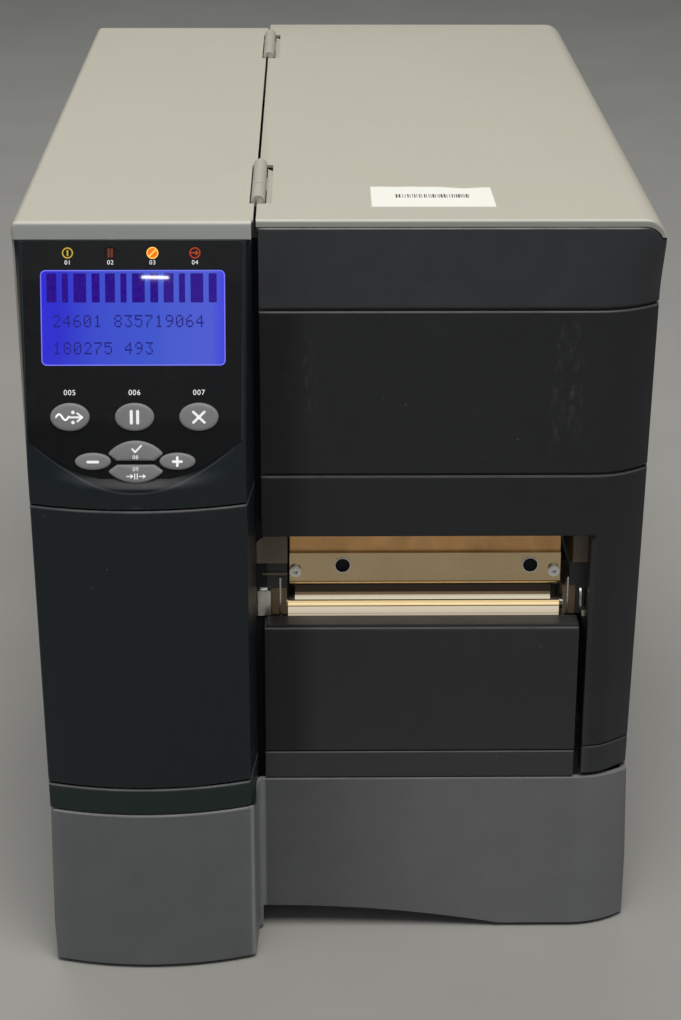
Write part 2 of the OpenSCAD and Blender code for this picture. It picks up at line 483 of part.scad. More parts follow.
// ---------- electronics ----------
module main_board() color("#2f5a38") union() {
   bx([-42.6, -90, 150], [-41, 205, 320]);
   for (y = [-80, 195], z = [158, 312]) cx(3, -41, -34.6, y, z);
   bx([-50, -60, 200], [-42.6, -20, 240]);
   bx([-46, 10, 180], [-42.6, 60, 220]);
   bx([-52, 90, 170], [-42.6, 110, 230]);
   for (i = [0:3]) cx(6, -60, -42.6, 140 + 15 * i, 180);
}
module power_supply() color("#9da09c") difference() {
   bx([-128, 40, 15], [-50, 196, 62]);
   bx([-126, 42, 20], [-52, 194, 70]);
   for (i = [0:8]) bx([-130, 60 + 14 * i, 30], [-120, 66 + 14 * i, 50]);
}
module power_inlet() color("#161616") difference() {
   union() { bx([-121.8, 203, 88.2], [-92.2, 223.6, 111.8]); bx([-125, 223.6, 86], [-89, 226, 114]); }
   bx([-119, 208, 91.5], [-95, 227, 108.5]);
}
module interface_ports() color("#4a4a4c") {
   difference() { bx([-117.8, 212, 262.2], [-58.2, 227, 275.8]); bx([-115, 221, 264], [-61, 228, 274]); }
   difference() { bx([-117.8, 212, 232.2], [-86.2, 227, 243.8]); bx([-115, 221, 234], [-89, 228, 242]); }
   difference() { bx([-73.8, 212, 232.2], [-60.2, 226, 243.8]); bx([-72, 216, 234], [-62, 228, 242]); }
}
module switch_body() color("#161616") difference() {
   union() { bx([-81.8, 206, 89.2], [-60.2, 223.6, 110.8]); bx([-84, 223.6, 87], [-58, 225.6, 113]); }
   bx([-79.5, 209, 90.6], [-62.5, 227, 109.4]);
   cx(1.5, -83, -59, 219.5, 100);
}
module power_rocker() color("#222222") union() {
   ex_x(-79, -63) polygon([[213, 96], [213, 104], [222.6, 108], [225.4, 106.5], [224.2, 100], [227.2, 93.4], [223, 92]]);
   cx(1.45, -81.2, -60.8, 219.5, 100);
}

base_skirt();
base_plate();
centre_wall();
rear_panel();
left_cover();
pillar_bezel();
pillar_panel();
pillar_trim();
control_overlay();
lcd_lens();
lcd_module();
led_pipes();
display_board();
front_lower_panel();
front_lower_trim();
hinge_fixed_leaves();
hinge_pins();
rubber_feet();
main_board();
power_supply();
power_inlet();
interface_ports();
stepper_motor();
print_frame();
platen_bearings();
tear_bar();
media_hanger();
drive_belt();
guide_bar();
media_sensor();
cover_screws();
head_pivot_rod();
spindle_axles();
switch_body();
door_shell();
door_front();
door_window();
door_hinge_leaves();
head_bracket();
head_plate();
head_heatsink();
print_head();
head_screws();
pressure_toggles();
latch_lever();
platen_shaft();
platen_rubber();
platen_pulley();
motor_pulley();
supply_spindle();
takeup_spindle();
media_guide();
key_feed();
key_pause();
key_cancel();
key_select();
key_exit();
key_minus();
key_plus();
power_rocker();
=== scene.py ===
import bpy, bmesh, math, json, random
from mathutils import Vector, Matrix

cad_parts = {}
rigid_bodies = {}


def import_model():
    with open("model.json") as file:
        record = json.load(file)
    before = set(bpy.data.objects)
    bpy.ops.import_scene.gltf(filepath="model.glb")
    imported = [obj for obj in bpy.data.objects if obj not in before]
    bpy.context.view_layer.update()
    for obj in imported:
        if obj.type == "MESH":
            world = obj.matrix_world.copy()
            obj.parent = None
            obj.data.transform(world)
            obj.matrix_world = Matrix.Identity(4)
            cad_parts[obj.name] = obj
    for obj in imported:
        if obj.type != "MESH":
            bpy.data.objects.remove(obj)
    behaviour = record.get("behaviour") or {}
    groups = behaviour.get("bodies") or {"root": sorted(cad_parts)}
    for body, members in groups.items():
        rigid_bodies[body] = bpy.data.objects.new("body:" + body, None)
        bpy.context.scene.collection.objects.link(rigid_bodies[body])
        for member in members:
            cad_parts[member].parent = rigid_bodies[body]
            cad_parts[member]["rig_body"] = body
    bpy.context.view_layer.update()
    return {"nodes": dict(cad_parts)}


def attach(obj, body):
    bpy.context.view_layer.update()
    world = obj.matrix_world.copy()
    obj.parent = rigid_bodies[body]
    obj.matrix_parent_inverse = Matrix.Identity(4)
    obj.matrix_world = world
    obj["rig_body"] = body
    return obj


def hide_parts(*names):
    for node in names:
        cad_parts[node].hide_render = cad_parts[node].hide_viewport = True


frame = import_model()
N = frame["nodes"]
scene = bpy.context.scene
MM = 0.001

# ------------------------------------------------------------------ camera
yaw, pitch, roll = math.radians(0.8714), math.radians(22.584), math.radians(0.184)
fwd = Vector((math.sin(yaw) * math.cos(pitch), math.cos(yaw) * math.cos(pitch), -math.sin(pitch)))
rt0 = Vector((math.cos(yaw), -math.sin(yaw), 0))
up0 = rt0.cross(fwd)
rt = rt0 * math.cos(roll) + up0 * math.sin(roll)
up = -rt0 * math.sin(roll) + up0 * math.cos(roll)
cam_data = bpy.data.cameras.new("camera")
cam = bpy.data.objects.new("camera", cam_data)
scene.collection.objects.link(cam)
cam.matrix_world = Matrix(((rt.x, up.x, -fwd.x, -0.013905), (rt.y, up.y, -fwd.y, -1.134067), (rt.z, up.z, -fwd.z, 0.604421), (0, 0, 0, 1)))
cam_data.sensor_width = 36
cam_data.sensor_fit = "AUTO"
cam_data.lens = 36 * 2268.461 / 1020
cam_data.clip_start = 0.02
cam_data.clip_end = 20
scene.camera = cam
scene.view_settings.view_transform = "Standard"


# ------------------------------------------------------------------ node helpers
def new_mat(name):
    m = bpy.data.materials.new(name)
    m.use_nodes = True
    nt = m.node_tree
    for n in list(nt.nodes):
        nt.nodes.remove(n)
    out = nt.nodes.new("ShaderNodeOutputMaterial")
    b = nt.nodes.new("ShaderNodeBsdfPrincipled")
    nt.links.new(b.outputs[0], out.inputs[0])
    tc = nt.nodes.new("ShaderNodeTexCoord")
    return m, nt, b, tc.outputs["Object"]


def mapping(nt, co, scale=(1, 1, 1), loc=(0, 0, 0), rot=(0, 0, 0)):
    n = nt.nodes.new("ShaderNodeMapping")
    n.inputs["Scale"].default_value = scale
    n.inputs["Location"].default_value = loc
    n.inputs["Rotation"].default_value = rot
    nt.links.new(co, n.inputs[0])
    return n.outputs[0]


def noise(nt, co, scale, detail=3, rough=0.5, dist=0.0):
    n = nt.nodes.new("ShaderNodeTexNoise")
    n.inputs["Scale"].default_value = scale
    n.inputs["Detail"].default_value = detail
    n.inputs["Roughness"].default_value = rough
    n.inputs["Distortion"].default_value = dist
    nt.links.new(co, n.inputs["Vector"])
    return n.outputs["Fac"]


def voro(nt, co, scale, feature="F1"):
    n = nt.nodes.new("ShaderNodeTexVoronoi")
    n.feature = feature
    n.inputs["Scale"].default_value = scale
    nt.links.new(co, n.inputs["Vector"])
    return n


def ramp(nt, fac, stops):
    n = nt.nodes.new("ShaderNodeValToRGB")
    e = n.color_ramp.elements
    e[0].position, e[0].color = stops[0][0], tuple(stops[0][1]) + (1,) if len(stops[0][1]) == 3 else stops[0][1]
    e[1].position, e[1].color = stops[-1][0], tuple(stops[-1][1]) + (1,) if len(stops[-1][1]) == 3 else stops[-1][1]
    for p, c in stops[1:-1]:
        x = e.new(p)
        x.color = tuple(c) + (1,) if len(c) == 3 else c
    nt.links.new(fac, n.inputs[0])
    return n.outputs["Color"]


def rampf(nt, fac, a, b, lo=0.0, hi=1.0):
    n = nt.nodes.new("ShaderNodeMapRange")
    n.inputs["From Min"].default_value = a
    n.inputs["From Max"].default_value = b
    n.inputs["To Min"].default_value = lo
    n.inputs["To Max"].default_value = hi
    nt.links.new(fac, n.inputs[0])
    return n.outputs[0]


def math2(nt, op, a, b=None, clamp=False):
    n = nt.nodes.new("ShaderNodeMath")
    n.operation = op
    n.use_clamp = clamp
    for i, v in enumerate((a, b)):
        if v is None:
            continue
        if isinstance(v, (int, float)):
            n.inputs[i].default_value = v
        else:
            nt.links.new(v, n.inputs[i])
    return n.outputs[0]


def mix(nt, fac, a, b, blend="MIX"):
    n = nt.nodes.new("ShaderNodeMix")
    n.data_type = "RGBA"
    n.blend_type = blend
    if isinstance(fac, (int, float)):
        n.inputs[0].default_value = fac
    else:
        nt.links.new(fac, n.inputs[0])
    for i, v in ((6, a), (7, b)):
        if isinstance(v, (tuple, list)):
            n.inputs[i].default_value = tuple(v) + (1,) if len(v) == 3 else v
        else:
            nt.links.new(v, n.inputs[i])
    return n.outputs[2]


def bump(nt, b, height, strength, dist=0.0002, normal=None):
    n = nt.nodes.new("ShaderNodeBump")
    n.inputs["Strength"].default_value = strength
    n.inputs["Distance"].default_value = dist
    nt.links.new(height, n.inputs["Height"])
    if normal is not None:
        nt.links.new(normal, n.inputs["Normal"])
    nt.links.new(n.outputs[0], b.inputs["Normal"])
    return n.outputs[0]


def sepz(nt, co):
    n = nt.nodes.new("ShaderNodeSeparateXYZ")
    nt.links.new(co, n.inputs[0])
    return n.outputs


def band(nt, v, lo, hi, soft):
    """1 between lo and hi, soft edges"""
    a = rampf(nt, v, lo - soft, lo + soft)
    b = rampf(nt, v, hi - soft, hi + soft, 1.0, 0.0)
    return math2(nt, "MULTIPLY", a, b)


def paint_light_and_shade(nt, co, c, light_shade_zones=(), lines=()):
    """painted light and shade: tone zones (x0, x1, z0, z1, soft, factor) in mm that darken or lighten the front as
    painted shade and painted light, and painted highlight lines (z0, z1, soft, grey, x0, x1) along the lit edges of
    seams and rims
    """
    x, y, z = sepz(nt, co)[0:3]
    front = rampf(nt, y, -0.192, -0.06, 1.0, 0.0)
    # each zone scales the front's colour: a factor below 1 is painted shade, above 1 painted light
    for (x0, x1, z0, z1, soft, f) in light_shade_zones:
        k = math2(nt, "MULTIPLY", band(nt, x, x0 * MM, x1 * MM, soft * MM), band(nt, z, z0 * MM, z1 * MM, min(soft, 1.5) * MM))
        k = math2(nt, "MULTIPLY", k, front)
        c = mix(nt, k, c, (f, f, f), "MULTIPLY")
    # painted highlight lines: a pale band where a seam or rim edge catches the light
    for (z0, z1, soft, g, x0, x1) in lines:
        k = math2(nt, "MULTIPLY", band(nt, z, z0 * MM, z1 * MM, soft * MM), band(nt, x, x0 * MM, x1 * MM, 3 * MM))
        k = math2(nt, "MULTIPLY", k, rampf(nt, noise(nt, co, 70.0, 3, 0.6), 0.3, 0.55, 0.6, 1.0))
        c = mix(nt, k, c, (g, g, g * 0.99))
    return c


def plastic(name, col, col2, rough=0.45, grain=0.35, specks=0.5, spec=0.5, scuffs=(), tint=None, gscale=1500.0, light_shade_zones=(), lines=()):
    m, nt, b, co = new_mat(name)
    big = noise(nt, co, 7.0, 4, 0.55)
    mid = noise(nt, co, 60.0, 5, 0.6)
    fine = noise(nt, co, gscale, 2, 0.6)
    c = mix(nt, rampf(nt, big, 0.35, 0.65), col, col2)
    c = mix(nt, rampf(nt, mid, 0.3, 0.8, 0.0, 0.22), c, tuple(min(1, x * 1.7 + 0.004) for x in col))
    # fine grain in the colour
    c = mix(nt, rampf(nt, fine, 0.55, 0.75, 0.0, 0.25), c, tuple(min(1, x * 1.9 + 0.006) for x in col))
    # dust specks, sparse
    v = voro(nt, co, 130.0)
    gate = rampf(nt, noise(nt, co, 23.0, 2, 0.5), 0.56, 0.62)
    sp = math2(nt, "MULTIPLY", rampf(nt, v.outputs["Distance"], 0.06, 0.028), gate, True)
    c = mix(nt, math2(nt, "MULTIPLY", sp, specks), c, (0.23, 0.23, 0.22))
    v2 = voro(nt, co, 420.0)
    gate2 = rampf(nt, noise(nt, co, 41.0, 2, 0.5), 0.6, 0.68)
    sp2 = math2(nt, "MULTIPLY", rampf(nt, v2.outputs["Distance"], 0.12, 0.05), gate2, True)
    c = mix(nt, math2(nt, "MULTIPLY", sp2, specks * 0.45), c, (0.2, 0.2, 0.2))
    # rubbed edges
    g = nt.nodes.new("ShaderNodeNewGeometry")
    edge = rampf(nt, g.outputs["Pointiness"], 0.52, 0.62)
    c = mix(nt, math2(nt, "MULTIPLY", edge, 0.35), c, tuple(min(1, x * 3 + 0.03) for x in col))
    rr = rampf(nt, mid, 0.3, 0.7, rough - 0.07, rough + 0.07)
    # scuffs: (x0,x1,z0,z1,strength) boxes of vertical rub marks
    x, y, z = sepz(nt, co)[0:3]
    for (x0, x1, z0, z1, st, sx) in scuffs:
        box = math2(nt, "MULTIPLY", band(nt, x, x0 * MM, x1 * MM, 2.2 * MM), band(nt, z, z0 * MM, z1 * MM, 8 * MM))
        streak = noise(nt, mapping(nt, co, (sx, 1, 26.0)), 6.0, 5, 0.72, 0.3)
        k = math2(nt, "MULTIPLY", math2(nt, "MULTIPLY", box, rampf(nt, streak, 0.5, 0.72)), st, True)
        c = mix(nt, k, c, (0.15, 0.148, 0.142))
    # painted light and shade zones, and painted highlight lines on seam edges
    c = paint_light_and_shade(nt, co, c, light_shade_zones, lines)
    nt.links.new(c, b.inputs["Base Color"])
    nt.links.new(rr, b.inputs["Roughness"])
    b.inputs["Specular IOR Level"].default_value = spec
    h = math2(nt, "ADD", math2(nt, "MULTIPLY", fine, 0.8), math2(nt, "MULTIPLY", noise(nt, co, gscale * 0.45, 2, 0.5), 0.6))
    bump(nt, b, h, grain, 0.00012)
    return m


def painted(name, col, col2):
    m, nt, b, co = new_mat(name)
    big = noise(nt, co, 3.0, 3, 0.5)
    mid = noise(nt, co, 38.0, 5, 0.62)
    c = mix(nt, rampf(nt, big, 0.35, 0.65), col, col2)
    c = mix(nt, rampf(nt, mid, 0.45, 0.8, 0.0, 0.18), c, tuple(x * 0.86 for x in col))
    warm = noise(nt, mapping(nt, co, (1, 1, 1), (0.3, 0.1, 0)), 9.0, 3, 0.5)
    c = mix(nt, rampf(nt, warm, 0.5, 0.75, 0.0, 0.35), c, (col[0] * 1.04, col[1] * 0.97, col[2] * 0.9))
    # faint handling marks
    s = noise(nt, mapping(nt, co, (40.0, 2.0, 40.0), (0, 0, 0), (0, 0, 0.35)), 5.0, 4, 0.65)
    c = mix(nt, rampf(nt, s, 0.62, 0.8, 0.0, 0.12), c, tuple(min(1, x * 1.25) for x in col))
    v = voro(nt, co, 95.0)
    gate = rampf(nt, noise(nt, co, 17.0, 2, 0.5), 0.62, 0.68)
    sp = math2(nt, "MULTIPLY", rampf(nt, v.outputs["Distance"], 0.05, 0.025), gate, True)
    c = mix(nt, math2(nt, "MULTIPLY", sp, 0.4), c, (0.2, 0.18, 0.15))
    # convex edges lighter: worn paint, with a painted highlight
    g = nt.nodes.new("ShaderNodeNewGeometry")
    edge = rampf(nt, g.outputs["Pointiness"], 0.53, 0.64)
    c = mix(nt, math2(nt, "MULTIPLY", edge, 0.3), c, tuple(min(1, x * 1.5) for x in col))
    x, y, z = sepz(nt, co)[0:3]
    # painted shade: faces that look to the front are darkened and cooled, the door's lip more than the left cover's
    tc = nt.nodes.new("ShaderNodeTexCoord")
    ny = sepz(nt, tc.outputs["Normal"])[1]
    front = math2(nt, "MULTIPLY", rampf(nt, ny, -0.97, -0.85, 1.0, 0.0), rampf(nt, z, 0.3300, 0.3310))
    right = rampf(nt, x, -0.0376, -0.0372)
    lip = mix(nt, right, (0.90, 0.97, 1.11), (0.70, 0.745, 0.81))
    c = mix(nt, front, c, lip, "MULTIPLY")
    # painted highlight along the covers' rounded front top edge
    high = rampf(nt, z, 0.3487, 0.3493)
    edge_highlight = math2(nt, "ADD", math2(nt, "MULTIPLY", band(nt, y, -0.2037, -0.2027, 0.0003), rampf(nt, x, -0.0376, -0.0372)),
                math2(nt, "MULTIPLY", band(nt, y, -0.2070, -0.2052, 0.0004), rampf(nt, x, -0.0376, -0.0372, 1.0, 0.0)), True)
    c = mix(nt, math2(nt, "MULTIPLY", math2(nt, "MULTIPLY", edge_highlight, high), 0.55), c, (0.80, 0.79, 0.73))
    nt.links.new(c, b.inputs["Base Color"])
    nt.links.new(rampf(nt, mid, 0.3, 0.7, 0.5, 0.62), b.inputs["Roughness"])
    b.inputs["Specular IOR Level"].default_value = 0.45
    fine = noise(nt, co, 900.0, 3, 0.55)
    bump(nt, b, fine, 0.3, 0.00012)
    return m


def metal(name, col, rough=0.28, stretch=(3.0, 260.0, 260.0), strength=0.12, var=0.12, aniso=0.4):
    m, nt, b, co = new_mat(name)
    b.inputs["Metallic"].default_value = 1.0
    lines = noise(nt, mapping(nt, co, stretch), 8.0, 5, 0.65)
    mid = noise(nt, co, 55.0, 4, 0.6)
    c = mix(nt, rampf(nt, mid, 0.35, 0.7, 0.0, 1.0), col, tuple(max(0, x * (1 - var * 2)) for x in col))
    c = mix(nt, rampf(nt, lines, 0.45, 0.75, 0.0, 0.3), c, tuple(min(1, x * 1.15) for x in col))
    nt.links.new(c, b.inputs["Base Color"])
    r = math2(nt, "ADD", rampf(nt, lines, 0.3, 0.7, rough - 0.05, rough + 0.07), rampf(nt, mid, 0.5, 0.8, 0.0, 0.06))
    nt.links.new(r, b.inputs["Roughness"])
    b.inputs["Anisotropic"].default_value = aniso
    bump(nt, b, lines, strength, 0.00008)
    return m


def flat_detail(name, col, rough=0.5, metallic=0.0, painted_glow=None, es=0.0, scale=200.0, amount=0.25, spec=0.5, coat=0.0, light_shade_zones=(), relief=0.12):
    m, nt, b, co = new_mat(name)
    n1 = noise(nt, co, scale, 4, 0.6)
    c = mix(nt, rampf(nt, n1, 0.35, 0.7, 0.0, amount), col, tuple(min(1, x * 1.5 + 0.01) for x in col))
    # painted light and shade zones
    c = paint_light_and_shade(nt, co, c, light_shade_zones)
    nt.links.new(c, b.inputs["Base Color"])
    b.inputs["Metallic"].default_value = metallic
    nt.links.new(rampf(nt, n1, 0.3, 0.7, max(0.02, rough - 0.05), min(1, rough + 0.05)), b.inputs["Roughness"])
    b.inputs["Specular IOR Level"].default_value = spec
    b.inputs["Coat Weight"].default_value = coat
    b.inputs["Coat Roughness"].default_value = 0.08
    # an optional glow: painted light on a surface that is no lamp
    if painted_glow:
        b.inputs["Emission Color"].default_value = tuple(painted_glow) + (1,)
        b.inputs["Emission Strength"].default_value = es
    bump(nt, b, n1, relief, 0.0001)
    return m


# ------------------------------------------------------------------ materials
M = {}
M["cover"] = painted("cover_paint", (0.455, 0.435, 0.360), (0.472, 0.452, 0.382))
DARK, DARK2 = (0.0165, 0.0175, 0.0195), (0.0195, 0.0205, 0.0225)
# dark_plastic: painted shade beside the control pillar, painted light on the door's top strip and the leg's foot;
# painted highlight lines on the seam edges and under the cover's lip
M["dark"] = plastic("dark_plastic", DARK, DARK2, 0.42, 0.4, 0.35, 0.32,
    scuffs=[(93.5, 96.5, 246, 300, 0.42, 60.0), (99, 105, 255, 302, 0.34, 60.0), (-17, -11, 262, 298, 0.26, 60.0), (-25, -21, 250, 300, 0.14, 60.0)],
    light_shade_zones=[(-60, 160, 311.2, 360, 1.0, 1.75), (-12, 118, 311.2, 360, 22.0, 1.25), (-60, -18, 80, 309, 6.0, 0.40), (112, 160, 80, 97.6, 1.0, 1.6), (112, 160, 97.6, 125, 1.0, 1.10)],
    lines=[(308.7, 309.4, 0.22, 0.125, -34.6, 150), (232.6, 233.3, 0.22, 0.115, -34.6, 150), (345.7, 346.5, 0.2, 0.34, -34.6, 129), (96.9, 97.4, 0.2, 0.09, 112, 150)])
# dark_panel: painted shade beside the control pillar, painted light on the lower trim band; a painted highlight line on
# its seam edge
M["panel"] = plastic("dark_panel", (0.0205, 0.0215, 0.022), (0.0235, 0.0245, 0.025), 0.42, 0.4, 0.35, 0.32,
    light_shade_zones=[(-60, -15, 95.9, 162, 6.0, 0.4), (-60, 160, 80, 95.8, 1.0, 1.28)], lines=[(95.0, 95.7, 0.2, 0.10, -34, 112)])
# trim_plastic: a painted highlight line along its top edge
M["trim"] = plastic("trim_plastic", (0.0125, 0.0235, 0.022), (0.0145, 0.026, 0.024), 0.42, 0.35, 0.35, 0.3, lines=[(94.2, 95.0, 0.25, 0.15, -150, -39)])
# pillar_plastic: painted highlight lines along the panel's and the bezel's top edges
M["pillar"] = plastic("pillar_plastic", (0.0095, 0.0140, 0.0175), (0.0110, 0.0165, 0.0200), 0.40, 0.35, 0.35, 0.3,
    lines=[(230.0, 230.8, 0.25, 0.13, -150, -39), (341.2, 342.2, 0.25, 0.15, -150, -39)])


def crease(mat, x0, z0, k, half, dark, line):
    """a bowed styling crease z = z0 + k (x - x0)^2: a fine painted highlight line along it, and painted shade (a darker
    tone) above it
    """
    nt = mat.node_tree
    b = [n for n in nt.nodes if n.type == "BSDF_PRINCIPLED"][0]
    co = [n for n in nt.nodes if n.type == "TEX_COORD"][0].outputs["Object"]
    x, y, z = sepz(nt, co)[0:3]
    dx = math2(nt, "SUBTRACT", x, x0 * MM)
    zc = math2(nt, "ADD", math2(nt, "MULTIPLY", math2(nt, "MULTIPLY", dx, dx), k / MM), z0 * MM)
    d = math2(nt, "SUBTRACT", z, zc)
    c = b.inputs["Base Color"].links[0].from_socket
    inside = band(nt, x, (x0 - half) * MM, (x0 + half) * MM, 0.5 * MM)
    # painted shade above the crease, fading out by z 262-275 mm
    above = math2(nt, "MULTIPLY", rampf(nt, d, 0.0, 1.2 * MM), rampf(nt, z, 0.262, 0.275, 1.0, 0.0))
    c = mix(nt, math2(nt, "MULTIPLY", above, inside), c, (dark, dark, dark), "MULTIPLY")
    # painted highlight line along the crease
    crease_highlight = math2(nt, "MULTIPLY", band(nt, d, -0.25 * MM, 0.35 * MM, 0.3 * MM), rampf(nt, noise(nt, co, 60.0, 3, 0.6), 0.3, 0.6, 0.5, 1.0))
    c = mix(nt, math2(nt, "MULTIPLY", crease_highlight, inside), c, (line, line, line * 1.02))
    nt.links.new(c, b.inputs["Base Color"])


def dark_return(mat, col):
    """the control housing's side reaches down over the base beside the label exit"""
    nt = mat.node_tree
    b = [n for n in nt.nodes if n.type == "BSDF_PRINCIPLED"][0]
    co = [n for n in nt.nodes if n.type == "TEX_COORD"][0].outputs["Object"]
    x, y, z = sepz(nt, co)[0:3]
    zl = math2(nt, "ADD", math2(nt, "MULTIPLY", math2(nt, "ADD", y, 0.2275), -0.46), 0.0812)
    k = math2(nt, "MULTIPLY", rampf(nt, math2(nt, "SUBTRACT", z, zl), -0.0002, 0.0002), band(nt, x, -0.0409, -0.0384, 0.0001))
    k = math2(nt, "MULTIPLY", k, rampf(nt, y, -0.2042, -0.2037, 1.0, 0.0))
    c = b.inputs["Base Color"].links[0].from_socket
    c = mix(nt, k, c, col)
    nt.links.new(c, b.inputs["Base Color"])


# painted shade (factor 0.22) above the pillar's crease, painted highlight (grey 0.06) along it
crease(M["pillar"], -88.0, 238.9, 0.0101, 43.0, 0.22, 0.06)
# base: painted light on the pillar's foot, strongest on its right-facing side, and on the right part; painted highlight
# lines along the top edge
M["base"] = plastic("base_plastic", (0.095, 0.099, 0.101), (0.110, 0.112, 0.109), 0.5, 0.45, 0.4, 0.35,
    light_shade_zones=[(-160, -41.2, -5, 90, 0.6, 1.22), (-40.8, -34.5, -5, 90, 0.6, 2.1), (12, 160, -5, 90, 26.0, 1.38), (50, 128, -5, 90, 18.0, 1.06)],
    lines=[(80.75, 81.7, 0.25, 0.36, -150, -40), (80.9, 81.7, 0.25, 0.26, -40, 150)])
dark_return(M["base"], (0.012, 0.018, 0.020))
M["black"] = plastic("black_plastic", (0.014, 0.014, 0.015), (0.018, 0.018, 0.018), 0.42, 0.35, 0.3)
M["rubber"] = plastic("rubber_black", (0.012, 0.012, 0.012), (0.02, 0.02, 0.02), 0.75, 0.5, 0.3, 0.3)
M["key"] = plastic("key_rubber", (0.228, 0.229, 0.231), (0.250, 0.251, 0.253), 0.5, 0.25, 0.2, 0.4, gscale=2500.0)
M["guide"] = plastic("guide_plastic", (0.05, 0.12, 0.25), (0.06, 0.13, 0.27), 0.4, 0.3, 0.2)
M["lever"] = plastic("lever_plastic", (0.42, 0.27, 0.04), (0.46, 0.3, 0.05), 0.4, 0.3, 0.2)
M["steel"] = metal("ground_steel", (0.60, 0.59, 0.56), 0.24)
M["zinc"] = metal("zinc_sheet", (0.50, 0.51, 0.51), 0.36, (30.0, 30.0, 30.0), 0.1, 0.2, 0.0)
M["cast"] = metal("cast_frame", (0.33, 0.30, 0.26), 0.46, (120.0, 120.0, 120.0), 0.3, 0.2, 0.0)
M["screw"] = metal("screw_plated", (0.75, 0.74, 0.70), 0.2, (200.0, 200.0, 200.0), 0.05, 0.1, 0.0)
M["copper"] = metal("copper_anodised", (0.84, 0.475, 0.205), 0.40, (2.5, 90.0, 90.0), 0.15, 0.14, 0.3)
M["ceramic"] = flat_detail("ceramic", (0.07, 0.05, 0.035), 0.25, coat=0.4)
# the platen rubber glows a little: painted light, no lamp
M["roller"] = flat_detail("platen_silicone_painted_glow", (0.86, 0.81, 0.64), 0.5, scale=400.0, amount=0.05, painted_glow=(0.80, 0.74, 0.56), es=0.34, relief=0.03)
M["bright"] = metal("bright_plate", (0.72, 0.70, 0.62), 0.3, (60.0, 60.0, 60.0), 0.1, 0.1, 0.0)
M["brown"] = plastic("brown_plate", (0.11, 0.072, 0.036), (0.14, 0.095, 0.05), 0.4, 0.3, 0.2)
M["board"] = flat_detail("solder_mask", (0.02, 0.10, 0.045), 0.35, scale=90.0, amount=0.5)
# overlay film zones: painted shade low down and towards the right, painted light along the top
M["overlay"] = flat_detail("overlay_film", (0.0088, 0.0088, 0.0094), 0.3, scale=220.0, amount=0.10, spec=0.30, light_shade_zones=[(-160, -30, 230, 268, 12.0, 0.5), (-64, -30, 230, 350, 14.0, 0.8), (-160, -30, 326, 350, 1.0, 1.5)])
# the white and grey inks glow a little: painted light, no lamp
M["white_ink"] = flat_detail("white_ink", (0.93, 0.94, 0.93), 0.5, scale=900.0, amount=0.06, painted_glow=(0.9, 0.9, 0.9), es=0.30)
M["white_dim"] = flat_detail("grey_ink", (0.72, 0.72, 0.71), 0.5, scale=900.0, amount=0.1, painted_glow=(0.7, 0.7, 0.7), es=0.12)
M["paper"] = flat_detail("label_paper", (0.95, 0.935, 0.85), 0.6, scale=250.0, amount=0.1)
M["ink"] = flat_detail("label_ink", (0.05, 0.048, 0.045), 0.6, scale=900.0, amount=0.5)
# pure black that stands in for shade in gaps and holes: painted shadow
M["shadow"] = flat_detail("painted_gap_shadow", (0.004, 0.004, 0.005), 0.8, scale=50.0, amount=0.1)
M["taupe"] = plastic("bracket_taupe", (0.110, 0.084, 0.055), (0.124, 0.096, 0.064), 0.5, 0.3, 0.2)
M["spring"] = metal("spring_brass", (0.42, 0.27, 0.12), 0.3, (60.0, 60.0, 60.0), 0.1, 0.2, 0.0)


M["polished"] = metal("polished_plate", (0.61, 0.465, 0.275), 0.12, (6.0, 200.0, 200.0), 0.03, 0.06, 0.0)


def bar_mat():
    """tear bar: brass-coloured sharpened edge over a pale ground face with a fine scored line, darker at its foot and
    just under the brass edge; the whole face also glows as painted light
    """
    m, nt, b, co = new_mat("tear_bar_painted_glow")
    z = sepz(nt, co)[2]
    n1 = noise(nt, mapping(nt, co, (4.0, 90.0, 90.0)), 6.0, 3, 0.5)
    k = rampf(nt, z, 0.1580, 0.1660)
    c = ramp(nt, k, [(0.0, (0.12, 0.09, 0.06)), (0.06, (0.50, 0.42, 0.30)), (0.25, (0.62, 0.53, 0.40)), (0.29, (0.32, 0.26, 0.18)), (0.33, (0.66, 0.57, 0.43)),
                     (0.70, (0.72, 0.63, 0.48)), (0.74, (0.10, 0.06, 0.03)), (0.77, (0.12, 0.07, 0.035)), (0.81, (1.0, 0.72, 0.36)), (1.0, (1.0, 0.86, 0.55))])
    c = mix(nt, rampf(nt, n1, 0.4, 0.7, 0.0, 0.12), c, (0.8, 0.7, 0.55))
    nt.links.new(c, b.inputs["Base Color"])
    # the face's colour is also its glow: painted light, no lamp
    nt.links.new(c, b.inputs["Emission Color"])
    b.inputs["Emission Strength"].default_value = 0.62
    b.inputs["Metallic"].default_value = 0.2
    b.inputs["Roughness"].default_value = 0.35
    return m


M["bar"] = bar_mat()


def glass_mat():
    m, nt, b, co = new_mat("window_tint")
    n1 = noise(nt, co, 40.0, 3, 0.5)
    c = mix(nt, rampf(nt, n1, 0.3, 0.7, 0.0, 0.3), (0.16, 0.19, 0.21), (0.2, 0.23, 0.25))
    nt.links.new(c, b.inputs["Base Color"])
    b.inputs["Transmission Weight"].default_value = 0.0
    b.inputs["Alpha"].default_value = 0.42
    nt.links.new(rampf(nt, n1, 0.3, 0.7, 0.04, 0.1), b.inputs["Roughness"])
    b.inputs["IOR"].default_value = 1.5
    return m


M["window"] = glass_mat()


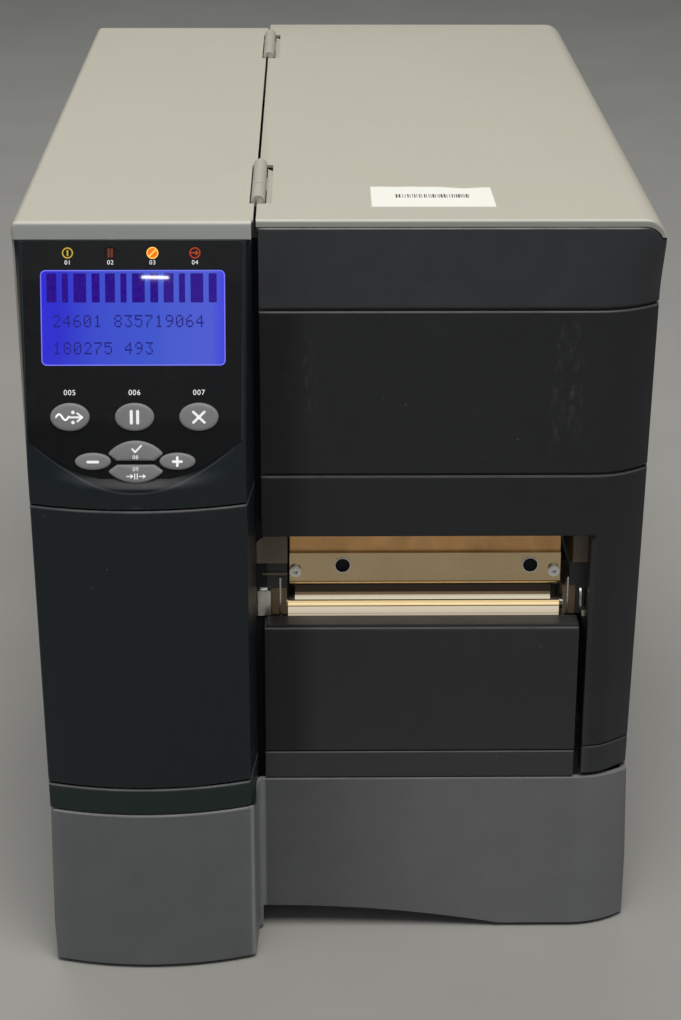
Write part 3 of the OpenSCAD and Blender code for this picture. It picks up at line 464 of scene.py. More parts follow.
def lcd_mat():
    m, nt, b, co = new_mat("lcd_backlight")
    s = sepz(nt, co)
    gx = rampf(nt, s[0], -0.127, -0.049)
    n1 = noise(nt, co, 28.0, 3, 0.5)
    c = ramp(nt, gx, [(0.0, (0.028, 0.020, 0.66)), (0.10, (0.030, 0.028, 0.60)), (0.3, (0.048, 0.075, 0.60)), (0.6, (0.055, 0.098, 0.61)), (0.92, (0.078, 0.108, 0.63)), (1.0, (0.05, 0.05, 0.74))])
    c = mix(nt, rampf(nt, n1, 0.35, 0.7, 0.0, 0.2), c, (0.055, 0.085, 0.57))
    # faint cell structure of the display
    w = nt.nodes.new("ShaderNodeTexChecker")
    w.inputs["Scale"].default_value = 1500.0
    nt.links.new(co, w.inputs[0])
    c = mix(nt, math2(nt, "MULTIPLY", w.outputs["Fac"], 0.05), c, (0.02, 0.03, 0.5))
    nt.links.new(c, b.inputs["Emission Color"])
    b.inputs["Emission Strength"].default_value = 1.0
    b.inputs["Base Color"].default_value = (0.003, 0.004, 0.012, 1)
    b.inputs["Roughness"].default_value = 0.018
    b.inputs["Specular IOR Level"].default_value = 0.22
    return m


M["lcd"] = lcd_mat()


def glow(name, col, s):
    m, nt, b, co = new_mat(name)
    n1 = noise(nt, co, 900.0, 2, 0.5)
    c = mix(nt, rampf(nt, n1, 0.3, 0.7, 0.0, 0.35), col, tuple(min(1.0, x * 1.3 + 0.02) for x in col))
    nt.links.new(c, b.inputs["Emission Color"])
    b.inputs["Emission Strength"].default_value = s
    b.inputs["Base Color"].default_value = (0.002, 0.002, 0.002, 1)
    b.inputs["Roughness"].default_value = 0.8
    b.inputs["Specular IOR Level"].default_value = 0.1
    return m


M["lcd_mark"] = glow("lcd_mark", (0.012, 0.012, 0.185), 1.0)
M["lcd_dark"] = glow("lcd_dark", (0.020, 0.001, 0.23), 1.0)
M["lcd_rim"] = glow("lcd_rim", (0.20, 0.20, 0.98), 1.0)
for n_ in M["lcd_dark"].node_tree.nodes:
    if n_.type == "BSDF_PRINCIPLED":
        n_.inputs["Specular IOR Level"].default_value = 0.22
        n_.inputs["Roughness"].default_value = 0.018
M["led_orange"] = glow("led_orange", (1.0, 0.14, 0.006), 1.2)
M["led_core"] = glow("led_core", (1.0, 0.50, 0.08), 1.3)
M["led_yellow"] = glow("led_yellow", (0.56, 0.40, 0.06), 0.9)
M["led_red"] = glow("led_red", (0.50, 0.062, 0.02), 0.9)
M["led_dim"] = glow("led_dim", (0.20, 0.035, 0.02), 0.9)


# ------------------------------------------------------------------ mesh helpers
def finish_mesh(o, ang=35, wn=True):
    for p in o.data.polygons:
        p.use_smooth = True
    o.data.set_sharp_from_angle(angle=math.radians(ang))
    if wn:
        w = o.modifiers.new("wn", "WEIGHTED_NORMAL")
        w.keep_sharp = True
        w.weight = 60


def add(name, verts, faces, mat, body="chassis", smooth=35, slot=None, mtx=None, wn=True):
    me = bpy.data.meshes.new(name)
    me.from_pydata([tuple(v) for v in verts], [], faces)
    me.validate()
    if mtx is not None:
        me.transform(mtx)
    o = bpy.data.objects.new(name, me)
    scene.collection.objects.link(o)
    bm = bmesh.new()
    bm.from_mesh(me)
    bmesh.ops.recalc_face_normals(bm, faces=bm.faces)
    bm.to_mesh(me)
    bm.free()
    finish_mesh(o, smooth, wn)
    me.materials.append(M[mat])
    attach(o, body)
    return o


def from_bm(name, bm, mat, body="chassis", smooth=35, mtx=None, wn=True, recalc=True):
    me = bpy.data.meshes.new(name)
    if recalc:
        bmesh.ops.recalc_face_normals(bm, faces=bm.faces)
    bm.to_mesh(me)
    bm.free()
    if mtx is not None:
        me.transform(mtx)
    o = bpy.data.objects.new(name, me)
    scene.collection.objects.link(o)
    finish_mesh(o, smooth, wn)
    me.materials.append(M[mat])
    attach(o, body)
    return o


def refine(node, mat, bevel=0.4, seg=2, ang=28, smooth=40, body=None, wide=None, shade=None):
    """A CAD node's own shape with its coplanar triangles joined and its edges rounded."""
    src = N[node]
    body = body or src["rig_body"]
    bm = bmesh.new()
    bm.from_mesh(src.data)
    bmesh.ops.remove_doubles(bm, verts=bm.verts, dist=3e-6)
    bmesh.ops.dissolve_limit(bm, angle_limit=math.radians(0.6), verts=bm.verts, edges=bm.edges, delimit={"NORMAL"})
    if wide:
        test, off = wide
        es = [e for e in bm.edges if len(e.link_faces) == 2 and e.calc_face_angle(0.0) > math.radians(40)
              and all(test(v.co.x / MM, v.co.y / MM, v.co.z / MM) for v in e.verts)]
        bmesh.ops.bevel(bm, geom=es, offset=off * MM, segments=5, profile=0.5, affect="EDGES", clamp_overlap=False)
    if bevel > 0:
        es = [e for e in bm.edges if len(e.link_faces) == 2 and e.calc_face_angle(0.0) > math.radians(ang)
              and not (wide and all(wide[0](v.co.x / MM, v.co.y / MM - 2.2, v.co.z / MM) or wide[0](v.co.x / MM, v.co.y / MM, v.co.z / MM) for v in e.verts))]
        bmesh.ops.bevel(bm, geom=es, offset=bevel * MM, segments=seg, profile=0.6, affect="EDGES", clamp_overlap=True)
    bmesh.ops.triangulate(bm, faces=[f for f in bm.faces if len(f.verts) > 4])
    o = from_bm("v_" + node, bm, mat, body, smooth)
    if shade:
        o.data.materials.append(M["shadow"])
        for p in o.data.polygons:
            c = p.center / MM
            if shade(c.x, c.y, c.z):
                p.material_index = 1
    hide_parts(node)
    return o


def carry(node, mat, shade=None):
    o = N[node]
    o.data.materials.clear()
    o.data.materials.append(M[mat])
    if shade:
        o.data.materials.append(M["shadow"])
        for p in o.data.polygons:
            c = p.center / MM
            if shade(c.x, c.y, c.z):
                p.material_index = 1
    for p in o.data.polygons:
        p.use_smooth = True
    o.data.set_sharp_from_angle(angle=math.radians(30))


def box_bm(bm, a, b, bev=0.3, seg=2):
    """a rounded box between corners a and b, mm"""
    r = bmesh.ops.create_cube(bm, size=1.0)
    vs = r["verts"]
    for v in vs:
        v.co = Vector(((a[i] + b[i]) / 2 + v.co[i] * (b[i] - a[i]) for i in range(3))) * MM
    if bev:
        es = list({e for v in vs for e in v.link_edges})
        bmesh.ops.bevel(bm, geom=es, offset=bev * MM, segments=seg, profile=0.6, affect="EDGES", clamp_overlap=True)


def boxes(name, lst, mat, body="chassis", bev=0.3):
    bm = bmesh.new()
    for a, b in lst:
        box_bm(bm, a, b, bev)
    return from_bm(name, bm, mat, body, 35)


def lathe(bm, prof, origin, axis="X", n=48, loop=False):
    """prof: [(along, radius)] in mm; loop closes the profile on itself instead of capping its ends"""
    rings = []
    for (h, r) in prof:
        ring = []
        for i in range(n):
            t = 2 * math.pi * i / n
            c, s = r * math.cos(t), r * math.sin(t)
            p = {"X": (h, c, s), "Y": (c, h, s), "Z": (c, s, h)}[axis]
            ring.append(bm.verts.new((Vector(origin) + Vector(p)) * MM))
        rings.append(ring)
    for a, b in zip(rings, rings[1:]):
        for i in range(n):
            j = (i + 1) % n
            bm.faces.new((a[i], a[j], b[j], b[i]))
    if loop:
        for i in range(n):
            j = (i + 1) % n
            bm.faces.new((rings[-1][i], rings[-1][j], rings[0][j], rings[0][i]))
        return
    bm.faces.new(rings[0])
    bm.faces.new(list(reversed(rings[-1])))


def prism(bm, pts, z0, z1, mtx=None):
    """extrude a 2D outline (mm) between z0 and z1 (mm), closed"""
    lo = [bm.verts.new((x * MM, y * MM, z0 * MM)) for x, y in pts]
    hi = [bm.verts.new((x * MM, y * MM, z1 * MM)) for x, y in pts]
    n = len(pts)
    for i in range(n):
        j = (i + 1) % n
        bm.faces.new((lo[i], lo[j], hi[j], hi[i]))
    bm.faces.new(hi)
    bm.faces.new(list(reversed(lo)))


def arc(cx, cy, r, a0, a1, n):
    return [(cx + r * math.cos(math.radians(a0 + (a1 - a0) * i / n)), cy + r * math.sin(math.radians(a0 + (a1 - a0) * i / n))) for i in range(n + 1)]


def rrect(x0, y0, x1, y1, r, n=5):
    return arc(x1 - r, y0 + r, r, -90, 0, n) + arc(x1 - r, y1 - r, r, 0, 90, n) + arc(x0 + r, y1 - r, r, 90, 180, n) + arc(x0 + r, y0 + r, r, 180, 270, n)


def tube(name, pts, r, mat, body="chassis", cyc=False, mtx=None):
    cu = bpy.data.curves.new(name, "CURVE")
    cu.dimensions = "3D"
    sp = cu.splines.new("POLY")
    sp.points.add(len(pts) - 1)
    for p, q in zip(sp.points, pts):
        v = Vector(q) * MM
        if mtx is not None:
            v = mtx @ v
        p.co = (v.x, v.y, v.z, 1)
    sp.use_cyclic_u = cyc
    cu.bevel_depth = r * MM
    cu.bevel_resolution = 3
    cu.use_fill_caps = True
    o = bpy.data.objects.new(name + "_c", cu)
    scene.collection.objects.link(o)
    dg = bpy.context.evaluated_depsgraph_get()
    me = bpy.data.meshes.new_from_object(o.evaluated_get(dg))
    bpy.data.objects.remove(o)
    me.name = name
    ob = bpy.data.objects.new(name, me)
    scene.collection.objects.link(ob)
    for p in me.polygons:
        p.use_smooth = True
    me.materials.clear()
    me.materials.append(M[mat])
    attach(ob, body)
    return ob


# the control face's own frame, as in the CAD
ALPHA = math.atan(0.276)
P0 = Vector((-88, -206.5, 342)) * MM
FACE = Matrix(((1, 0, 0, P0.x), (0, math.sin(ALPHA), -math.cos(ALPHA), P0.y), (0, math.cos(ALPHA), math.sin(ALPHA), P0.z), (0, 0, 0, 1)))

YF = -203.5
YA = YF - 34.0
PX, PHW, FH, PR, PF = -88.0, 50.2, 47.7, 145.0, 1.6
LEAN = 3.6 / 258.4            # the sides lean in towards the base


def side(z):
    return 135.4 + LEAN * (z - 81.6)


def circ(a):
    return 34.0 - (PR - math.sqrt(PR * PR - a * a))


PCX = FH - PF
PANG = math.degrees(math.asin(PCX / (PR - PF)))
PCY = YA + PR - (PR - PF) * math.cos(math.radians(PANG))


def bow(dx):
    """how far forward of YF the pillar's bowed front is at dx from its middle"""
    a = abs(dx)
    lim = PR * math.sin(math.radians(PANG))
    if a <= lim:
        return 34.0 - (PR - math.sqrt(PR * PR - a * a))
    return (YF - PCY) + math.sqrt(max(0.0, PF * PF - (a - PCX) ** 2))


def smooth01(t):
    t = max(0.0, min(1.0, t))
    return t * t * (3 - 2 * t)


def face_fwd(z):
    """forward distance of the sloping control face; it kicks out below the film"""
    f = 3 - 0.83 + 0.276 * (342 - z)
    if z < 248:
        t = (248 - z) / 11.0
        f += 7.5 * t * t
    return f


def smin(a, b, k):
    h = max(k - abs(a - b), 0.0) / k
    return min(a, b) - h * h * k * 0.25


# ------------------------------------------------------------------ pillar skins
XS = [46.3 * i / 14 for i in range(-14, 15)]
for k in range(9):
    t = math.radians(PANG + (90 - PANG) * k / 8)
    XS += [PCX + PF * math.sin(t), -PCX - PF * math.sin(t)]
XS = sorted(XS)
XS[0], XS[-1] = -FH, FH


def pillar_skin(name, node, rows, mat, face=False, body="chassis", thick=2.0):
    """rows: [(z, inset)]; the outer skin of the pillar as one sheet with rounded rims, then given its wall"""
    verts, faces = [], []
    W = 0
    for (z, ins) in rows:
        line = []
        sh = LEAN * (350 - z)
        fp0 = face_fwd(z) if face else 99.0
        hw = FH + (1.1 * (1 - min(24.5, fp0) / 24.5) if face else 0.0)
        xl = PX - PHW + ins + sh
        line.append((xl, YF - 0.2, z))
        fr0 = []
        for dx in XS:
            w = smooth01((-dx - 6) / 40)
            f = bow(dx) + (circ(max(0.0, abs(dx) - sh * w)) - circ(abs(dx)) if w > 0 else 0.0)
            if face:
                fp, rd = fp0, 1.7
                a = abs(dx) * hw / FH
                if a > hw - rd:
                    fp -= rd - math.sqrt(max(0.0, rd * rd - (a - hw + rd) ** 2))
                f = smin(f, fp, 2.2)
            fr0.append((PX + dx * (hw - ins) / FH + sh * w, YF - f + ins, z))
        line.append(((xl + fr0[0][0]) / 2, (YF + fr0[0][1]) / 2, z))
        line += fr0
        xr = PX + PHW - ins
        line.append(((xr + fr0[-1][0]) / 2, (YF + fr0[-1][1]) / 2, z))
        line.append((xr, YF, z))
        line.append((xr, -190.2, z))
        W = len(line)
        verts += [Vector(p) * MM for p in line]
    for r in range(len(rows) - 1):
        for c in range(W - 1):
            a = r * W + c
            faces.append((a, a + 1, a + W + 1, a + W))
    me = bpy.data.meshes.new(name)
    me.from_pydata([tuple(v) for v in verts], [], faces)
    o = bpy.data.objects.new(name, me)
    scene.collection.objects.link(o)
    bm = bmesh.new()
    bm.from_mesh(me)
    bmesh.ops.recalc_face_normals(bm, faces=bm.faces)
    # make sure the sheet faces outwards (front faces look to -Y)
    s = sum(f.normal.y * f.calc_area() for f in bm.faces)
    if s > 0:
        bmesh.ops.reverse_faces(bm, faces=bm.faces)
    bm.to_mesh(me)
    bm.free()
    so = o.modifiers.new("wall", "SOLIDIFY")
    so.thickness = thick * MM
    so.offset = -1
    finish_mesh(o, 40)
    me.materials.append(M[mat])
    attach(o, body)
    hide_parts(node)
    return o


def rim_rows(z0, z1, n, r=0.55, top=True, bottom=True):
    rows = []
    if bottom:
        for k in range(4):
            t = math.radians(90 * k / 3)
            rows.append((z0 + r - r * math.cos(t), r - r * math.sin(t)))
    else:
        rows.append((z0, 0))
    for k in range(1, n):
        rows.append((z0 + (z1 - z0) * k / n, 0))
    if top:
        for k in range(4):
            t = math.radians(90 * (3 - k) / 3)
            rows.append((z1 - r + r * math.cos(t), r - r * math.sin(t)))
    else:
        rows.append((z1, 0))
    return rows


rows = rim_rows(231.6, 240.0, 4, 0.5, top=False)
z = 240.0
while z < 342:
    z += 1.0 if z < 266 else 3.0
    rows.append((min(z, 342.0), 0))
pillar_skin("pillar_bezel_skin", "pillar_bezel", rows, "pillar", face=True)
pillar_skin("pillar_panel_skin", "pillar_panel", rim_rows(95.7, 231.0, 10, 0.9), "pillar")
pillar_skin("pillar_trim_skin", "pillar_trim", rim_rows(82.2, 95.1, 3, 0.9), "trim")

# ------------------------------------------------------------------ door front skin
YB = -190.4
LEFT = -35.3


def low_contour():
    pts = [(113 + (t, 0)[0] * 0, 0) for t in []]
    out = []
    # main corner: R42 from x=113, then a small fillet onto the side wall
    phi_e = math.asin(29.0 / 42.0)
    phi_s = math.asin(3.0 / 42.0)
    fil = 1.6
    # fillet circle tangent inside the R42 arc and the wall x=137
    cxx = 139 - fil
    d = 42 - fil
    phf = math.asin((cxx - 110) / d)
    cyy = YF + 42 - d * math.cos(phf)
    for i in range(13):
        ph = phi_s + (phf - phi_s) * i / 12
        out.append((110 + 42 * math.sin(ph), YF + 42 - 42 * math.cos(ph)))
    for i in range(1, 7):
        a = -90 + math.degrees(phf) + (90 - math.degrees(phf)) * i / 6
        out.append((cxx + fil * math.cos(math.radians(a)), cyy + fil * math.sin(math.radians(a))))
    y0 = out[-1][1]
    for i in range(1, 4):
        out.append((139.0, y0 + (YB - y0) * i / 3))
    return out


def high_contour():
    out = []
    r = 2.8
    for i in range(9):
        out.append((113 + (139 - r - 113) * i / 8, YF))
    for i in range(1, 11):
        a = -90 + 90 * i / 10
        out.append((139 - r + r * math.cos(math.radians(a)), YF + r + r * math.sin(math.radians(a))))
    y0 = out[-1][1]
    for i in range(1, 4):
        out.append((139.0, y0 + (YB - y0) * i / 3))
    return out


LC, HC = low_contour(), high_contour()
assert len(LC) == len(HC)
FLAT = [LEFT, LEFT + 0.25, LEFT + 0.6, -20, 5, 30, 55, 80, 100, 109]
COLS = len(FLAT) + len(LC)


def door_pt(c, z, ins=0.0):
    if c < len(FLAT):
        x = FLAT[c]
        y = YF + ins
        if c == 0:
            x, y = LEFT, YF + 0.6 + ins
        elif c == 1:
            y = YF + 0.18 + ins
        return (x, y, z)
    k = c - len(FLAT)
    g = smooth01((346 - z) / 34.0)
    lx, ly = LC[k]
    hx_, hy_ = HC[k]
    x, y = hx_ + (lx - hx_) * g, hy_ + (ly - hy_) * g
    if ins:
        k0, k1 = max(0, k - 1), min(len(LC) - 1, k + 1)
        tx = (HC[k1][0] - HC[k0][0]) * (1 - g) + (LC[k1][0] - LC[k0][0]) * g
        ty = (HC[k1][1] - HC[k0][1]) * (1 - g) + (LC[k1][1] - LC[k0][1]) * g
        L = math.hypot(tx, ty) or 1
        x, y = x - ty / L * ins, y + tx / L * ins
    wk = smooth01((x - 118) / 16)
    x += (side(min(z, 340)) - 139) * wk
    return (x, y, z)


def ztop(c):
    x = FLAT[c] if c < len(FLAT) else HC[c - len(FLAT)][0]
    if x <= 129:
        return 346.5
    if x <= 136.7:
        return 338.1 + math.sqrt(max(0, 8.6 ** 2 - (x - 129) ** 2)) - 0.2
    return 341.5


def groove(z, w=1.05, d=1.1, rb=0.75):
    """rows from the top down across a styling seam at z: sharp upper lip, deep gap, rounded lower lip"""
    out = [(z + w / 2 + 0.5, 0), (z + w / 2 + 0.12, 0.0), (z + w / 2, 0.14), (z + w / 2 - 0.02, d), (z - w / 2, d), (z - w / 2 - 0.02, rb)]
    for k in range(1, 5):
        t = math.radians(90 * k / 4)
        out.append((z - w / 2 - rb + rb * math.cos(t), rb - rb * math.sin(t)))
    return out


rows_top = []
rr = 0.7
for k in range(4):
    t = math.radians(90 * (3 - k) / 3)
# upper strip rows use a parameter from the strip's own top edge down
TOPR = [(0.0, 0.6), (0.12, 0.3), (0.32, 0.1), (0.6, 0.0), (3.0, 0.0), (8, 0), (14, 0), (20, 0), (26, 0), (32, 0)]
door_rows = []
for z, i in groove(310.2, 1.5, 1.3, 0.7):
    door_rows.append((z, i))
for z in (300, 280, 260, 245):
    door_rows.append((z, 0))
for z, i in groove(234.3, 1.25, 1.1, 0.6):
    door_rows.append((z, i))
for z in (225, 215, 206):
    door_rows.append((z, 0))
door_rows += [(205.2, 0), (204.7, 0.08), (204.4, 0.35), (204.35, 0.7)]
n_full = len(TOPR) + len(door_rows)
leg_rows = [(202, 0), (180, 0), (160, 0), (140, 0), (120, 0), (105, 0)]
for z, i in groove(98.0, 0.8, 0.9, 0.6):
    leg_rows.append((z, i))
leg_rows += [(90, 0), (84.4, 0), (83.9, 0.1), (83.55, 0.35), (83.4, 0.7)]
K0 = len(FLAT)                # the column at x=113, where the leg starts
verts, faces, idx = [], [], {}


def V(r, c, p):
    idx[(r, c)] = len(verts)
    verts.append(Vector(p) * MM)


r = 0
for (dz, ins) in TOPR:
    for c in range(COLS):
        zt = ztop(c)
        f = dz / 36.0
        z = zt - dz if dz < 1 else zt - 0.6 - (zt - 0.6 - 311.8) * ((dz - 0.6) / 35.4)
        V(r, c, door_pt(c, z, ins))
    r += 1
for (z, ins) in door_rows:
    for c in range(COLS):
        # the opening's lower rim stops at the leg
        if z < 205.3 and c > K0:
            V(r, c, door_pt(c, z, 0.0))
        else:
            V(r, c, door_pt(c, z, ins))
    r += 1
R1 = r
for (z, ins) in leg_rows:
    for c in range(K0, COLS):
        V(r, c, door_pt(c, z, ins))
    r += 1
for rr_ in range(R1 - 1):
    for c in range(COLS - 1):
        faces.append((idx[(rr_, c)], idx[(rr_, c + 1)], idx[(rr_ + 1, c + 1)], idx[(rr_ + 1, c)]))
for rr_ in range(R1 - 1, r - 1):
    for c in range(K0, COLS - 1):
        faces.append((idx[(rr_, c)], idx[(rr_, c + 1)], idx[(rr_ + 1, c + 1)], idx[(rr_ + 1, c)]))
me = bpy.data.meshes.new("door_front_skin")
me.from_pydata([tuple(v) for v in verts], [], faces)
door = bpy.data.objects.new("door_front_skin", me)
scene.collection.objects.link(door)
bm = bmesh.new()
bm.from_mesh(me)
bmesh.ops.recalc_face_normals(bm, faces=bm.faces)
if sum(f.normal.y * f.calc_area() for f in bm.faces) > 0:
    bmesh.ops.reverse_faces(bm, faces=bm.faces)
bm.to_mesh(me)
bm.free()
so = door.modifiers.new("wall", "SOLIDIFY")
so.thickness = 2.4 * MM
so.offset = -1
finish_mesh(door, 42)
me.materials.append(M["dark"])
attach(door, "media_door")
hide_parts("door_front")
# side returns of the moulding: left edge, the opening's top and the leg's inner wall
boxes("door_front_returns", [((-35.2, -202.9, 204.8), (-33.0, -190.4, 346.0)), ((-35.0, -202.9, 204.5), (113.4, -193.3, 206.8)),
                             ((113.1, -202.6, 84.0), (115.4, -190.4, 206.0))], "dark", "media_door", 0.5)

# ------------------------------------------------------------------ carried and refined CAD pieces
def left_rim(x, y, z):
    return abs(y + 206.5) < 0.01 and x < -37.7 and (z > 349.99 or abs(math.hypot(x + 136, z - 347) - 3) < 0.02 or (x < -138.98 and z > 342.2))


def door_rim(x, y, z):
    return abs(y + 203.5) < 0.01 and (z > 349.99 or abs(math.hypot(x - 129, z - 340) - 10) < 0.02)


# the left cover's faces beside the door gap get the black of painted shadow
refine("left_cover", "cover", 0.4, wide=(left_rim, 1.9), shade=lambda x, y, z: x > -39 and y < -200 and z < 349.0)
refine("door_shell", "cover", 0.35, wide=(door_rim, 1.3))
for node, mat, bev in (
    ("base_skirt", "base", 1.0),
    ("front_lower_panel", "panel", 0.7), ("front_lower_trim", "panel", 0.6),
    ("hinge_fixed_leaves", "cover", 0.3), ("door_hinge_leaves", "cover", 0.3), ("print_frame", "cast", 0.5),
    ("tear_bar", "bar", 0.25), ("head_plate", "polished", 0.2), ("head_heatsink", "copper", 0.4), ("latch_lever", "lever", 0.5),
    ("power_rocker", "black", 0.4), ("switch_body", "black", 0.4), ("power_inlet", "black", 0.5), ("interface_ports", "steel", 0.3),
    ("rear_panel", "cover", 0.0), ("control_overlay", "overlay", 0.12), ("rubber_feet", "rubber", 0.6), ("media_guide", "guide", 0.4),
    ("head_bracket", "zinc", 0.3), ("power_supply", "zinc", 0.3), ("stepper_motor", "black", 0.5), ("media_sensor", "black", 0.4),
):
    refine(node, mat, bev)
for node, mat in (
    ("base_plate", "zinc"), ("centre_wall", "zinc"), ("lcd_module", "board"), ("led_pipes", "led_dim_base"), ("display_board", "board"),
    ("hinge_pins", "steel"), ("main_board", "board"), ("platen_bearings", "steel"), ("media_hanger", "black"),
    ("drive_belt", "rubber"), ("guide_bar", "steel"), ("cover_screws", "screw"), ("head_pivot_rod", "steel"), ("spindle_axles", "steel"),
    ("door_window", "window"), ("print_head", "ceramic"), ("head_screws", "screw"), ("pressure_toggles", "steel"),
    ("platen_shaft", "steel"), ("platen_rubber", "roller"), ("platen_pulley", "black"), ("motor_pulley", "steel"),
    ("supply_spindle", "black"), ("takeup_spindle", "black"), ("lcd_lens", "lcd"),
):
    if mat == "led_dim_base":
        mat = "overlay"
    # the centre wall's front and left faces get the black of painted shadow
    carry(node, mat, (lambda x, y, z: y < -187.5 or x < -34.5) if node == "centre_wall" else None)

# ------------------------------------------------------------------ keys
KEYS = {"key_feed": (-27.3, -74.7, 16.8, 12), "key_pause": (0.15, -74.7, 16.8, 12), "key_cancel": (27.5, -74.7, 16.8, 12),
        "key_minus": (-17.8, -93.7, 15.4, 7.4), "key_plus": (18.2, -93.7, 15.4, 7.4)}


def arched(v, r, w, b, up, g=-0.85, rd=0.85):
    """an arched key: arc of radius r about (0.4, v), slanted in to half width w at its straight edge b, corners rounded"""
    a = math.degrees(math.asin((11.6 + 1.1 * g) / (r + g)))
    q = w + 0.414 * g
    pts = arc(0.4, v, r + g, 90 * up - a, 90 * up + a, 26)
    base = [(0.4 - q * up + 2 * q * up * i / 10, b - g * up) for i in range(11)]
    pts += base
    out = []
    n = len(pts)
    for i in range(n):
        p0, p1, p2 = pts[i - 1], pts[i], pts[(i + 1) % n]
        a0 = math.atan2(p1[1] - p0[1], p1[0] - p0[0]) - math.pi / 2
        a1 = math.atan2(p2[1] - p1[1], p2[0] - p1[0]) - math.pi / 2
        while a1 < a0 - 1e-6:
            a1 += 2 * math.pi
        m = 1 if a1 - a0 < 0.3 else 6
        for k in range(m + 1) if m > 1 else (0.5,):
            t = a0 + (a1 - a0) * (k / m)
            out.append((p1[0] + rd * math.cos(t), p1[1] + rd * math.sin(t)))
    return out


def key_piece(node, outline, body):
    n = len(outline)
    cx = sum(p[0] for p in outline) / n
    cy = sum(p[1] for p in outline) / n
    prof = [(0.0, -4.6), (0.0, 0.35), (0.08, 0.8), (0.28, 1.12), (0.62, 1.36), (1.15, 1.52), (2.0, 1.6)]
    # inset rings by moving towards the centre by a fixed distance along the radius
    bm = bmesh.new()
    rings = []
    for (ins, z) in prof:
        ring = []
        for (x, y) in outline:
            dx, dy = x - cx, y - cy
            L = math.hypot(dx, dy)
            k = max(0.05, (L - ins) / L)
            # keep the inset even on flat sides
            ring.append(bm.verts.new(((cx + dx * k) * MM, (cy + dy * k) * MM, z * MM)))
        rings.append(ring)
    for a, b in zip(rings, rings[1:]):
        for i in range(n):
            j = (i + 1) % n
            bm.faces.new((a[i], a[j], b[j], b[i]))
    last = rings[-1]
    for s, z in ((0.6, 1.66), (0.25, 1.69)):
        ring = [bm.verts.new(((cx + (v.co.x / MM - cx) * s) * MM, (cy + (v.co.y / MM - cy) * s) * MM, z * MM)) for v in rings[-1]]
        for i in range(n):
            j = (i + 1) % n
            bm.faces.new((last[i], last[j], ring[j], ring[i]))
        last = ring
    c = bm.verts.new((cx * MM, cy * MM, 1.7 * MM))
    for i in range(n):
        bm.faces.new((last[i], last[(i + 1) % n], c))
    bm.faces.new(list(reversed(rings[0])))
    o = from_bm("v_" + node, bm, "key", body, 50, FACE)
    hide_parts(node)
    return o


for k, (cx, cy, w, h) in KEYS.items():
    key_piece(k, [(cx + w / 2 * math.cos(2 * math.pi * i / 64), cy + h / 2 * math.sin(2 * math.pi * i / 64)) for i in range(64)], "button_" + k[4:])
key_piece("key_select", arched(-100.15, 15.35, 8.25, -93.4, 1), "button_select")
key_piece("key_exit", arched(-86.44, 16.66, 8.1, -95.1, -1), "button_exit")


def bars(name, segs, w, z, mat, body, mtx=FACE, th=0.06, round_=True):
    """flat round-ended strokes in the control face's plane; segs: [((x0,y0),(x1,y1))] or with a width"""
    bm = bmesh.new()
    for s in segs:
        (x0, y0), (x1, y1) = s[0], s[1]
        ww = s[2] if len(s) > 2 else w
        d = math.degrees(math.atan2(y1 - y0, x1 - x0))
        if round_:
            pts = arc(x1, y1, ww / 2, d - 90, d + 90, 6) + arc(x0, y0, ww / 2, d + 90, d + 270, 6)
        else:
            nx, ny = -math.sin(math.radians(d)) * ww / 2, math.cos(math.radians(d)) * ww / 2
            pts = [(x0 - nx, y0 - ny), (x1 - nx, y1 - ny), (x1 + nx, y1 + ny), (x0 + nx, y0 + ny)]
        prism(bm, pts, z, z + th)
    return from_bm(name, bm, mat, body, 30, mtx, False)


def discs(name, lst, z, mat, body, mtx=FACE, th=0.06, n=24):
    bm = bmesh.new()
    for (x, y, r) in lst:
        prism(bm, [(x + r * math.cos(2 * math.pi * i / n), y + r * math.sin(2 * math.pi * i / n)) for i in range(n)], z, z + th)
    return from_bm(name, bm, mat, body, 30, mtx, False)


def ring(name, x, y, r, w, z, mat, body="chassis", mtx=FACE, th=0.06, n=40):
    bm = bmesh.new()
    a = [(x + r * math.cos(2 * math.pi * i / n), y + r * math.sin(2 * math.pi * i / n)) for i in range(n)]
    b = [(x + (r - w) * math.cos(2 * math.pi * i / n), y + (r - w) * math.sin(2 * math.pi * i / n)) for i in range(n)]
    vo = [[bm.verts.new((p[0] * MM, p[1] * MM, zz * MM)) for p in pts] for pts in (a, b) for zz in (z, z + th)]
    for i in range(n):
        j = (i + 1) % n
        bm.faces.new((vo[1][i], vo[1][j], vo[3][j], vo[3][i]))
        bm.faces.new((vo[0][i], vo[0][j], vo[2][j], vo[2][i]))
        bm.faces.new((vo[0][i], vo[0][j], vo[1][j], vo[1][i]))
        bm.faces.new((vo[2][i], vo[2][j], vo[3][j], vo[3][i]))
    return from_bm(name, bm, mat, body, 30, mtx, False)


KZ = 1.69
bars("icon_pause", [((-1.15, -77.2), (-1.15, -72.2)), ((1.55, -77.2), (1.55, -72.2))], 1.25, KZ, "white_ink", "button_pause")
bars("icon_cancel", [((25.2, -77.0), (29.9, -72.5)), ((25.2, -72.5), (29.9, -77.0))], 1.05, KZ, "white_ink", "button_cancel")
bars("icon_minus", [((-19.9, -93.8), (-15.6, -93.8))], 1.15, KZ - 0.03, "white_ink", "button_minus")
bars("icon_plus", [((16.4, -93.7), (20.0, -93.7)), ((18.2, -95.5), (18.2, -91.9))], 1.1, KZ - 0.03, "white_ink", "button_plus")
bars("icon_check", [((-0.9, -88.3), (0.3, -89.6)), ((0.3, -89.6), (2.9, -86.9))], 0.75, KZ - 0.02, "white_ink", "button_select")
wave = [(-33.1 + 0.42 * i, -74.6 + 1.25 * math.sin(0.42 * i / 5.3 * 2 * math.pi)) for i in range(14)]
